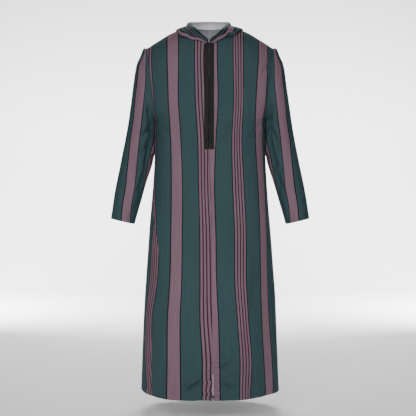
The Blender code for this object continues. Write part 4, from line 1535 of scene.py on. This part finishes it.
class ThobeZip(bpy.types.PropertyGroup):
    tape: colour_setting("Tape", "Woven tape of the zip", "#151515")
    teeth: colour_setting("Teeth", "Nylon coil of the zip", "#101011")
    metal: colour_setting("Slider", "Lacquer on the slider and its tab", "#0E0E10")
    sewing: colour_setting("Thread", "Sewing thread on the zip", "#2A2A2C")
    tooth_pitch: length_setting("Tooth pitch", "Distance between two teeth of one side", 0.0030)
    stitch: length_setting("Stitch", "Length from one stitch to the next", 0.0036)


class ThobeStudio(bpy.types.PropertyGroup):
    floor_drop: length_setting("Floor drop", "Distance from the hem down to the floor", 0.080)
    key_power: power_setting("Key light", "Power of the stronger light above in front", 46.0)
    fill_power: power_setting("Fill light", "Power of the small light low in front", 6.0)
    backdrop_power: power_setting("Backdrop lights", "Power of each light on the backdrop", 340.0)
    floor_power: power_setting("Floor light", "Power of the light over the floor behind", 90.0)


# Operators


class ThobeOperator:
    bl_options = {"REGISTER", "UNDO"}


def finish_piece(obj, slot, *nodes, body="garment"):
    """Says which body a piece moves with and hides the nodes that it stands for; the slot is not used."""
    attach(obj, body)
    if nodes:
        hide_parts(*nodes)


def panel_half(side, facing):
    """Rows of points of one half of the body's front or back, from its middle outwards."""
    columns = panel_columns(FRONT_SIDE_COLUMNS if facing < 0 else BACK_SIDE_COLUMNS)
    rows = len(PANEL_ROWS[0]) + YOKE_ROWS + 1
    return [[panel_point(side, facing, share, row) for share in columns] for row in range(rows)]


def stripe_places(side, rows, stripes):
    """Place in the cloth, across and along it, of each point of each row."""
    return [[(place, point.z) for place, point in zip(stripes(side, row), row)] for row in rows]


class THOBE_OT_fronts(ThobeOperator, bpy.types.Operator):
    """Makes the two front panels"""

    bl_idname = "thobe.fronts"
    bl_label = "Fronts"

    def execute(self, context):
        for name, side in (("left", 1), ("right", -1)):
            points = panel_half(side, -1)
            places = stripe_places(side, points, front_stripes)
            obj = make_sheet(f"cloth_front_{name}", points, places, CLOTH, body_cloth(), flip=side < 0)
            finish_piece(obj, "striped_cloth", f"front_{name}")
        return {"FINISHED"}


class THOBE_OT_back(ThobeOperator, bpy.types.Operator):
    """Makes the back panel"""

    bl_idname = "thobe.back"
    bl_label = "Back"

    def execute(self, context):
        halves = {}
        for side in (1, -1):
            points = panel_half(side, 1)
            halves[side] = points, stripe_places(side, points, back_stripes)
        points = [right[:0:-1] + left for right, left in zip(halves[-1][0], halves[1][0])]
        places = [right[:0:-1] + left for right, left in zip(halves[-1][1], halves[1][1])]
        obj = make_sheet("cloth_back", points, places, CLOTH, body_cloth(), flip=True)
        finish_piece(obj, "striped_cloth", "back")
        return {"FINISHED"}


class THOBE_OT_sleeves(ThobeOperator, bpy.types.Operator):
    """Makes the two sleeves, each sewn into a tube"""

    bl_idname = "thobe.sleeves"
    bl_label = "Sleeves"

    def execute(self, context):
        for name, side in (("left", 1), ("right", -1)):
            shares = [(row / SLEEVE_ROWS) ** 1.1 for row in range(SLEEVE_ROWS + 1)]
            turns = [360 * column / SLEEVE_ROUND - 180 for column in range(SLEEVE_ROUND + 1)]
            rings = [[sleeve_point(side, along, turn) for turn in turns] for along in shares]
            stripes = sleeve_stripes(side, rings, shares)
            places = [
                [(place, -along * SLEEVE_RUN) for place in ring_places]
                for along, ring_places in zip(shares, stripes)
            ]
            obj = make_sheet(
                f"cloth_sleeve_{name}", rings, places, CLOTH, body_cloth(), flip=side < 0, tube=True
            )
            finish_piece(obj, "striped_cloth", f"sleeve_{name}")
        return {"FINISHED"}


class THOBE_OT_hood(ThobeOperator, bpy.types.Operator):
    """Makes the two halves of the hood, lying back"""

    bl_idname = "thobe.hood"
    bl_label = "Hood"

    def execute(self, context):
        steps = hood_steps()
        for name, side in (("left", 1), ("right", -1)):
            strips = []
            for column in range(HOOD_COLUMNS + 1):
                strip = [hood_point(side, hood_along(column), step) for step in steps]
                if column == HOOD_COLUMNS:
                    for point in strip:
                        point.x = side * HALF_GAP
                strips.append(strip)
            even_out(strips, steps)
            crown = steps.index(HOOD_CROWN_STEP)
            lengths = [run_lengths(strip) for strip in strips]
            rounds = run_lengths([strip[crown] for strip in strips])
            points = [[strip[row] for strip in strips] for row in range(len(steps))]
            fold = steps.index(HOOD_FOLD_STEP)
            places = []
            for row in range(len(steps)):
                places.append([])
                for column, length in enumerate(lengths):
                    share = (length[crown] - length[row]) / (length[crown] - length[fold])
                    places[-1].append((hood_stripe(side, hood_along(column), share), rounds[column]))
            obj = make_sheet(f"cloth_hood_{name}", points, places, CLOTH, hood_cloth(side), flip=side < 0)
            # Next to the zip the inside of the cloth takes the striped print instead of the pale reverse:
            # painted shade at the bottom of the V.
            dark_inside = {tuple(strip[row]) for strip in strips[:HOOD_DARK_INSIDE_COLUMNS] for row in range(len(steps))}
            for polygon in obj.data.polygons:
                if all(tuple(obj.data.vertices[i].co) in dark_inside for i in polygon.vertices):
                    polygon.material_index = 2
            finish_piece(obj, "striped_cloth", f"hood_{name}")
        return {"FINISHED"}


def zip_point(across, height, lift):
    """A point over the front, at a distance across from the zip's middle line."""
    return body_point(section("middle", height) + across, height, -1, lift)


class THOBE_OT_zip_tapes(ThobeOperator, bpy.types.Operator):
    """Makes the two tapes of the zip"""

    bl_idname = "thobe.zip_tapes"
    bl_label = "Zip tapes"

    def execute(self, context):
        settings = context.scene.thobe_zip
        weave = named_material("woven polyester zip tape", zip_tape_weave, settings)
        top = NECK_FRONT_Z - 0.0012
        rows = 150
        inner = CHAIN_HALF_WIDTH + 0.0004
        across = (inner, 0.0032, 0.0058, 0.009, 0.012, TAPE_STITCH, 0.0163, ZIP_HALF_WIDTH)
        for name, side in (("left", 1), ("right", -1)):
            points = []
            places = []
            for row in range(rows + 1):
                height = between(ZIP_END, top, row / rows)
                points.append([])
                places.append([])
                closed = smooth((height - (NECK_FRONT_Z - 0.009)) / 0.003)
                for column, x in enumerate(across):
                    if column < 2:
                        x = between(x, 0.0006 + 0.001 * column, closed)
                    groove = 0.0002 * math.exp(-(((x - TAPE_STITCH) / 0.0008) ** 2))
                    points[-1].append(zip_point(side * x, height, ZIP_LIFT - groove))
                    places[-1].append((x, height))
            obj = make_sheet(f"tape_{name}", points, places, TAPE, [weave], flip=side < 0)
            finish_piece(obj, "zip_tape", f"zip_tape_{name}")
        return {"FINISHED"}


def surface_frame(across, height, lift):
    """Place and directions on the zip: X across, -Y outwards, Z up along it."""
    place = zip_point(across, height, lift)
    above = zip_point(across, height + 0.002, lift)
    up = (above - place).normalized()
    sideways = Vector((1, 0, 0))
    inward = sideways.cross(up).normalized()
    if inward.y < 0:
        inward = -inward
    return Matrix.Translation(place) @ Matrix((sideways, inward, up)).transposed().to_4x4()


def add_box(bm, size, matrix):
    """Adds a box of a size at a place."""
    made = bmesh.ops.create_cube(bm, size=1.0)["verts"]
    bmesh.ops.scale(bm, vec=size, verts=made)
    bmesh.ops.transform(bm, matrix=matrix, verts=made)


def round_edges(bm, edges, width, segments=2):
    bmesh.ops.bevel(
        bm, geom=edges, offset=width, segments=segments, profile=0.5, affect="EDGES", material=-1
    )


class THOBE_OT_zip_teeth(ThobeOperator, bpy.types.Operator):
    """Makes the closed coil teeth and the bottom stop"""

    bl_idname = "thobe.zip_teeth"
    bl_label = "Zip teeth"

    def execute(self, context):
        settings = context.scene.thobe_zip
        nylon = solid_finish(
            "nylon zip coil", settings.teeth, 2500, 0.85, 1.15, 0.2, Roughness=0.42, Specular_IOR_Level=0.5
        )
        bm = bmesh.new()
        top = SLIDER_HEIGHT - SLIDER_LENGTH / 2 - 0.0012
        height = ZIP_END + 0.0148
        side = 1
        while height < top - 0.0006:
            matrix = surface_frame(side * 0.0009, height, ZIP_LIFT)
            add_box(bm, Vector((0.0025, CHAIN_THICKNESS * 0.95, settings.tooth_pitch * 0.36)), matrix)
            side = -side
            height += settings.tooth_pitch / 2
        round_edges(bm, list(bm.edges), 0.00022, 1)
        teeth = make_object("coil_teeth", bm, [nylon], smooth_shading=False)
        finish_piece(teeth, "zip_teeth", "zip_chain")
        metal = named_material("lacquered zinc slider", lacquered_zinc, settings)
        bm = bmesh.new()
        height = ZIP_END + 0.011
        matrix = surface_frame(0.0, height, ZIP_LIFT + 0.0003)
        add_box(bm, Vector((0.0042, 0.0016, 0.0042)), matrix)
        round_edges(bm, list(bm.edges), 0.0004)
        stop = make_object("bottom_stop", bm, [metal])
        finish_piece(stop, "zip_metal", "zip_bottom_stop")
        return {"FINISHED"}


def lacquered_zinc(settings):
    """Die-cast zinc under black lacquer: smooth, with a soft gloss."""
    return solid_finish(
        "lacquered zinc slider", settings.metal, 900, 0.9, 1.1, 0.1, Roughness=0.42, Metallic=0.0,
        Coat_Weight=0.15, Coat_Roughness=0.3, Specular_IOR_Level=0.45,
    )


def slider_matrix():
    """Place and lean of the slider: it lies on the zip's middle surface."""
    middle = zip_point(0.0, SLIDER_HEIGHT, ZIP_LIFT)
    above = zip_point(0.0, SLIDER_HEIGHT + 0.004, ZIP_LIFT)
    below = zip_point(0.0, SLIDER_HEIGHT - 0.004, ZIP_LIFT)
    lean = -math.atan2(above.y - below.y, above.z - below.z)
    return Matrix.Translation(middle) @ Matrix.Rotation(lean, 4, "X")


def rounded_outline(angle, half_width, low, high, squareness, taper):
    """A point of a rounded, tapered outline in the slider's plane, narrower towards its lower end."""
    middle = (low + high) / 2
    z = (high - low) / 2 * signed_power(math.sin(angle), 2 / squareness)
    width = half_width * between(taper, 1.0, (z / (high - low)) + 0.5)
    return width * signed_power(math.cos(angle), 2 / squareness), middle + z


def add_plate(bm, outline, hole, back, front, segments=40):
    """Adds a plate with an outline and, where given, a hole, between two distances out."""
    loops = []
    for shape in (outline, hole):
        if shape:
            ring = bmesh.ops.create_circle(bm, segments=segments, radius=1.0)["verts"]
            for i, vertex in enumerate(ring):
                x, z = shape(2 * math.pi * i / segments)
                vertex.co = Vector((x, back, z))
            loops.append(ring)
    edges = [edge for ring in loops for edge in {edge for vertex in ring for edge in vertex.link_edges}]
    if hole:
        faces = bmesh.ops.bridge_loops(bm, edges=edges)["faces"]
    else:
        faces = bmesh.ops.contextual_create(bm, geom=loops[0])["faces"]
    made = bmesh.ops.extrude_face_region(bm, geom=faces, use_keep_orig=True)["geom"]
    moved = [item for item in made if isinstance(item, bmesh.types.BMVert)]
    bmesh.ops.translate(bm, vec=Vector((0, front - back, 0)), verts=moved)


class THOBE_OT_slider(ThobeOperator, bpy.types.Operator):
    """Makes the slider with its bridge, and the pull tab that hangs in it"""

    bl_idname = "thobe.slider"
    bl_label = "Slider and pull tab"

    def execute(self, context):
        metal = named_material("lacquered zinc slider", lacquered_zinc, context.scene.thobe_zip)
        half = SLIDER_LENGTH / 2

        def face_outline(angle):
            return rounded_outline(angle, SLIDER_WIDTH / 2, -half, half, 3.2, 0.80)

        bm = bmesh.new()
        inner = -TAPE / 2 - SEAM_GAP
        add_plate(bm, face_outline, None, inner, PLATE_OUT)
        bmesh.ops.recalc_face_normals(bm, faces=bm.faces)
        rim = [edge for edge in bm.edges if edge.calc_face_angle(0) > 0.6]
        round_edges(bm, rim, 0.0004, 3)
        core = Matrix.Translation((0, -TAPE / 4, -0.0007))
        add_box(bm, Vector((0.0040, TAPE + 0.0008, SLIDER_LENGTH - 0.0032)), core)
        square = bmesh.ops.create_grid(bm, x_segments=1, y_segments=1, size=0.5)["verts"]
        bmesh.ops.scale(bm, vec=Vector((ARCH_WIDTH, ARCH_BAR, 1)), verts=square)
        bmesh.ops.rotate(bm, cent=(0, 0, 0), matrix=Matrix.Rotation(math.pi / 2, 3, "X"), verts=square)
        reach = ARCH_HOLE / 2 + ARCH_BAR / 2
        bmesh.ops.translate(bm, vec=Vector((0, 0, reach)), verts=square)
        faces = [face for face in bm.faces if all(vertex in square for vertex in face.verts)]
        before = set(bm.verts) - set(square)
        bmesh.ops.spin(
            bm, geom=faces + square, cent=(0, 0, 0), axis=(1, 0, 0), dvec=(0, 0, 0), angle=math.pi, steps=14,
            use_merge=False, use_duplicate=False,
        )
        arch = [vertex for vertex in bm.verts if vertex not in before]
        if sum(vertex.co.y for vertex in arch) > 0:
            bmesh.ops.rotate(bm, cent=(0, 0, 0), matrix=Matrix.Rotation(math.pi, 3, "X"), verts=arch)
        bmesh.ops.scale(bm, vec=Vector((1, 1.75, 1)), verts=arch)
        bmesh.ops.translate(bm, vec=Vector((0, PLATE_OUT + 0.0003, HINGE_Z)), verts=arch)
        bmesh.ops.recalc_face_normals(bm, faces=bm.faces)
        bm.transform(slider_matrix())
        slider = make_object("slider", bm, [metal])
        finish_piece(slider, "zip_metal", "zip_slider")

        def tab_outline(angle):
            low = HINGE_Z - TAB_LENGTH
            return rounded_outline(angle, TAB_WIDTH / 2, low, HINGE_Z + PIN_RADIUS, 4.0, 0.86)

        def tab_hole(angle):
            low = HINGE_Z - 0.0066
            return rounded_outline(angle, ARCH_WIDTH / 2 + 0.0007, low, HINGE_Z - PIN_RADIUS, 3.0, 1.0)

        bm = bmesh.new()
        add_plate(bm, tab_outline, tab_hole, HINGE_Y + PIN_RADIUS, HINGE_Y - PIN_RADIUS, 64)
        bmesh.ops.recalc_face_normals(bm, faces=bm.faces)
        rim = [edge for edge in bm.edges if edge.calc_face_angle(0) > 0.9]
        round_edges(bm, rim, 0.0003)
        bm.transform(slider_matrix())
        tab = make_object("pull_tab_plate", bm, [metal])
        finish_piece(tab, "zip_metal", "zip_pull", body="pull_tab")
        return {"FINISHED"}


def add_stitches(bm, path, length, radius, cover=0.72):
    """Adds stitches end to end along a path: each a small rounded bar."""
    at = 0.0
    for start, end in zip(path, path[1:]):
        step = (end - start).length
        while at < step:
            place = start.lerp(end, at / step)
            along = (end - start).normalized()
            turn = Vector((0, 0, 1)).rotation_difference(along).to_matrix().to_4x4()
            size = Matrix.Diagonal((radius, radius, length * cover / 2, 1))
            placed = Matrix.Translation(place) @ turn @ size
            bmesh.ops.create_icosphere(bm, subdivisions=1, radius=1.0, matrix=placed)
            at += length
        at -= step


class THOBE_OT_stitching(ThobeOperator, bpy.types.Operator):
    """Makes the stitching of the zip, hem, cuffs and slit, with the slit's turned-back edge"""

    bl_idname = "thobe.stitching"
    bl_label = "Stitching"

    def execute(self, context):
        zip_settings = context.scene.thobe_zip
        cloth_settings = context.scene.thobe_cloth
        black = solid_finish(
            "spun polyester thread, black", zip_settings.sewing, 3000, 0.8, 1.2, 0.2, Roughness=0.6
        )
        dark = solid_finish(
            "spun polyester thread, dark green", cloth_settings.edge_line, 3000, 0.8, 1.2, 0.2, Roughness=0.6
        )
        length = zip_settings.stitch
        over_tape = ZIP_LIFT + TAPE / 2 + 0.0001
        bm = bmesh.new()
        top = NECK_FRONT_Z - 0.010
        for side in (1, -1):
            for across in (TAPE_STITCH, 0.0062):
                heights = [between(ZIP_END + 0.004, top, i / 60) for i in range(61)]
                path = [zip_point(side * across, height, over_tape - 0.0002) for height in heights]
                add_stitches(bm, path, length, STITCH_RADIUS)
        for height in (ZIP_END + 0.0145, ZIP_END + 0.004):
            crossings = [between(-TAPE_STITCH, TAPE_STITCH, i / 10) for i in range(11)]
            path = [zip_point(across, height, over_tape) for across in crossings]
            add_stitches(bm, path, length * 0.7, 0.00035)
        finish_piece(make_object("zip_stitches", bm, [black]), "zip_tape")

        bm = bmesh.new()
        stitch_height = HEM + HEM_STITCH
        lift = CLOTH / 2 - 0.0001
        for side, facing in ((1, -1), (-1, -1), (1, 1), (-1, 1)):
            path = []
            for i in range(101):
                share = between(0.012, 0.994, i / 100)
                start = middle_turn(stitch_height) if facing < 0 else side * 180
                turn = between(start, side * seam_turn(side, stitch_height), share)
                place = ring_point(turn, stitch_height)
                out = lift + panel_lift(side, facing, share, place, stitch_height)
                path.append(ring_point(turn, stitch_height, out))
            add_stitches(bm, path, length, STITCH_RADIUS)
        for side in (1, -1):
            along = 1 - HEM_STITCH / SLEEVE_RUN
            path = []
            for i in range(97):
                turn = 360 * i / 96
                point = sleeve_point(side, along, turn)
                angle = math.radians(turn)
                outward = Vector((side * math.cos(angle), -math.sin(angle), 0.0))
                path.append(point + outward * lift)
            add_stitches(bm, path, length, STITCH_RADIUS)
        for side in (1, -1):
            path = []
            for i in range(41):
                height = between(SLIT_TOP - 0.002, HEM + 0.004, i / 40)
                turn = middle_turn(height) + side * 1.9
                out = lift + panel_lift(side, -1, 0.02, ring_point(turn, height), height)
                path.append(ring_point(turn, height, out) + Vector((side * front_edge_gap(height), 0, 0)))
            add_stitches(bm, path, length, STITCH_RADIUS)
        for i in range(7):
            height = SLIT_TOP + 0.0006 * (i - 3)
            middle = middle_turn(height)
            out = lift + panel_lift(1, -1, 0.0, ring_point(middle, height), height)
            path = [ring_point(middle + between(-0.5, 0.5, share), height, out) for share in (0.0, 0.5, 1.0)]
            add_stitches(bm, path, 0.0020, 0.00030, 1.1)
        finish_piece(make_object("cloth_stitches", bm, [dark]), "striped_cloth")

        bm = bmesh.new()
        for i in range(7):
            height = SLIT_END_TACK + 0.0008 * (i - 3)
            middle = middle_turn(height)
            turns = [middle + between(-0.9, 0.9, share) for share in (0.0, 0.5, 1.0)]
            path = [ring_point(turn, height, lift + 0.0026) for turn in turns]
            add_stitches(bm, path, 0.0026, 0.0017, 1.3)
        finish_piece(make_object("slit_end_tack", bm, [black]), "striped_cloth")

        depth = -CLOTH - SEAM_GAP - 0.0004
        points = []
        places = []
        for i in range(41):
            height = between(SLIT_TOP + 0.004, HEM + 0.0008, i / 40)
            middle = middle_turn(height)
            row = []
            for column in range(7):
                share = column / 6
                bowed = depth - 0.0006 * abs(share - 0.3)
                row.append(ring_point(middle + between(-0.9, 2.6, share), height, bowed))
            points.append(row)
            places.append([(0.003 * column, height) for column in range(7)])
        # The strip behind the slit takes a darker grey: painted shade in the slit.
        slit_painted_shade = named_material("cotton facing tape, grey", slit_reverse_painted_shade, cloth_settings)
        turned = make_sheet("slit_edge_turned_back", points, places, 0.0010, [slit_painted_shade], flip=True)
        finish_piece(turned, "striped_cloth")
        return {"FINISHED"}


class THOBE_OT_studio(ThobeOperator, bpy.types.Operator):
    """Makes the floor with its sweep, the lights and the camera"""

    bl_idname = "thobe.studio"
    bl_label = "Studio"

    def execute(self, context):
        settings = context.scene.thobe_studio
        white = solid_finish(
            "matt white studio paper", (0.90, 0.90, 0.90), 3, 0.99, 1.01, 0.05, Roughness=0.95
        )
        floor = HEM - settings.floor_drop
        bm = bmesh.new()
        bmesh.ops.create_grid(bm, x_segments=2, y_segments=40, size=0.5)
        # The floor takes the first 0.4 of the rows, the bend up to 0.8 and the wall the rest.
        width = 5.6
        front = -7.0
        back = 3.9
        radius = 1.6
        wall = 3.4
        for vertex in bm.verts:
            x = vertex.co.x * width
            row = vertex.co.y + 0.5
            if row < 0.4:
                vertex.co = Vector((x, between(front, back, row / 0.4), floor))
            elif row < 0.8:
                angle = math.pi / 2 * (row - 0.4) / 0.4
                y = back + radius * math.sin(angle)
                vertex.co = Vector((x, y, floor + radius * (1 - math.cos(angle))))
            else:
                vertex.co = Vector((x, back + radius, floor + radius + (row - 0.8) / 0.2 * wall))
        bmesh.ops.recalc_face_normals(bm, faces=bm.faces)
        sweep = make_object("studio_sweep", bm, [white])

        world = bpy.data.worlds.new("studio light")
        context.scene.world = world
        world.use_nodes = True
        background = world.node_tree.nodes["Background"]
        background.inputs["Color"].default_value = (1.0, 1.0, 1.0, 1.0)
        background.inputs["Strength"].default_value = WORLD_STRENGTH
        low = Vector((0.0, 0.0, -1.1))
        second_power = settings.key_power * SECOND_LIGHT_SHARE
        backdrop_power = settings.backdrop_power
        for name, place, size, power, aim in (
            ("key light", (-1.4, -3.2, 0.9), 0.9, settings.key_power, low),
            ("second light", (1.6, -3.3, 0.8), 0.9, second_power, low),
            ("fill light", (-0.1, -1.6, -0.88), 0.6, settings.fill_power, Vector((0.0, 0.0, -0.88))),
            ("backdrop light, left", (-2.3, 2.3, -0.2), 1.2, backdrop_power, Vector((-1.3, 5.2, -0.9))),
            ("backdrop light, right", (2.3, 2.3, -0.2), 1.2, backdrop_power, Vector((1.3, 5.2, -0.9))),
            ("floor light", (0.0, 1.5, 1.3), 1.6, settings.floor_power, Vector((0.0, 2.5, floor))),
        ):
            data = bpy.data.lights.new(name, "AREA")
            data.shape = "SQUARE"
            data.size = size
            data.energy = power
            light = bpy.data.objects.new(name, data)
            context.scene.collection.objects.link(light)
            light.location = place
            light.rotation_euler = (aim - Vector(place)).to_track_quat("-Z", "Y").to_euler()

        data = bpy.data.cameras.new("camera")
        data.sensor_width = SENSOR_WIDTH
        data.lens = SENSOR_WIDTH * VIEW_DISTANCE / VIEW_WIDTH
        camera = bpy.data.objects.new("camera", data)
        context.scene.collection.objects.link(camera)
        camera.location = (VIEW_SIDE, -VIEW_DISTANCE, VIEW_HEIGHT)
        camera.rotation_euler = (math.pi / 2, 0.0, 0.0)
        context.scene.camera = camera
        return {"FINISHED"}


OPERATORS = (
    THOBE_OT_studio,
    THOBE_OT_fronts,
    THOBE_OT_back,
    THOBE_OT_sleeves,
    THOBE_OT_hood,
    THOBE_OT_zip_tapes,
    THOBE_OT_zip_teeth,
    THOBE_OT_slider,
    THOBE_OT_stitching,
)


class THOBE_PT_sidebar(bpy.types.Panel):
    """Sizes, colours and steps of the thobe"""

    bl_idname = "THOBE_PT_sidebar"
    bl_label = "Thobe"
    bl_space_type = "VIEW_3D"
    bl_region_type = "UI"
    bl_category = "Thobe"

    def draw(self, context):
        for group in (context.scene.thobe_cloth, context.scene.thobe_zip, context.scene.thobe_studio):
            box = self.layout.box()
            for name in group.bl_rna.properties.keys():
                if name not in {"rna_type", "name"}:
                    box.prop(group, name)
        for operator in OPERATORS:
            self.layout.operator(operator.bl_idname)


CLASSES = (ThobeCloth, ThobeZip, ThobeStudio, *OPERATORS, THOBE_PT_sidebar)


def register():
    for item in CLASSES:
        bpy.utils.register_class(item)
    bpy.types.Scene.thobe_cloth = bpy.props.PointerProperty(type=ThobeCloth)
    bpy.types.Scene.thobe_zip = bpy.props.PointerProperty(type=ThobeZip)
    bpy.types.Scene.thobe_studio = bpy.props.PointerProperty(type=ThobeStudio)


def unregister():
    del bpy.types.Scene.thobe_studio
    del bpy.types.Scene.thobe_zip
    del bpy.types.Scene.thobe_cloth
    for item in reversed(CLASSES):
        bpy.utils.unregister_class(item)


def main():
    register()
    for step in (
        bpy.ops.thobe.studio,
        bpy.ops.thobe.fronts,
        bpy.ops.thobe.back,
        bpy.ops.thobe.sleeves,
        bpy.ops.thobe.hood,
        bpy.ops.thobe.zip_tapes,
        bpy.ops.thobe.zip_teeth,
        bpy.ops.thobe.slider,
        bpy.ops.thobe.stitching,
    ):
        step()
    bpy.context.view_layer.update()


if __name__ == "__main__":
    main()
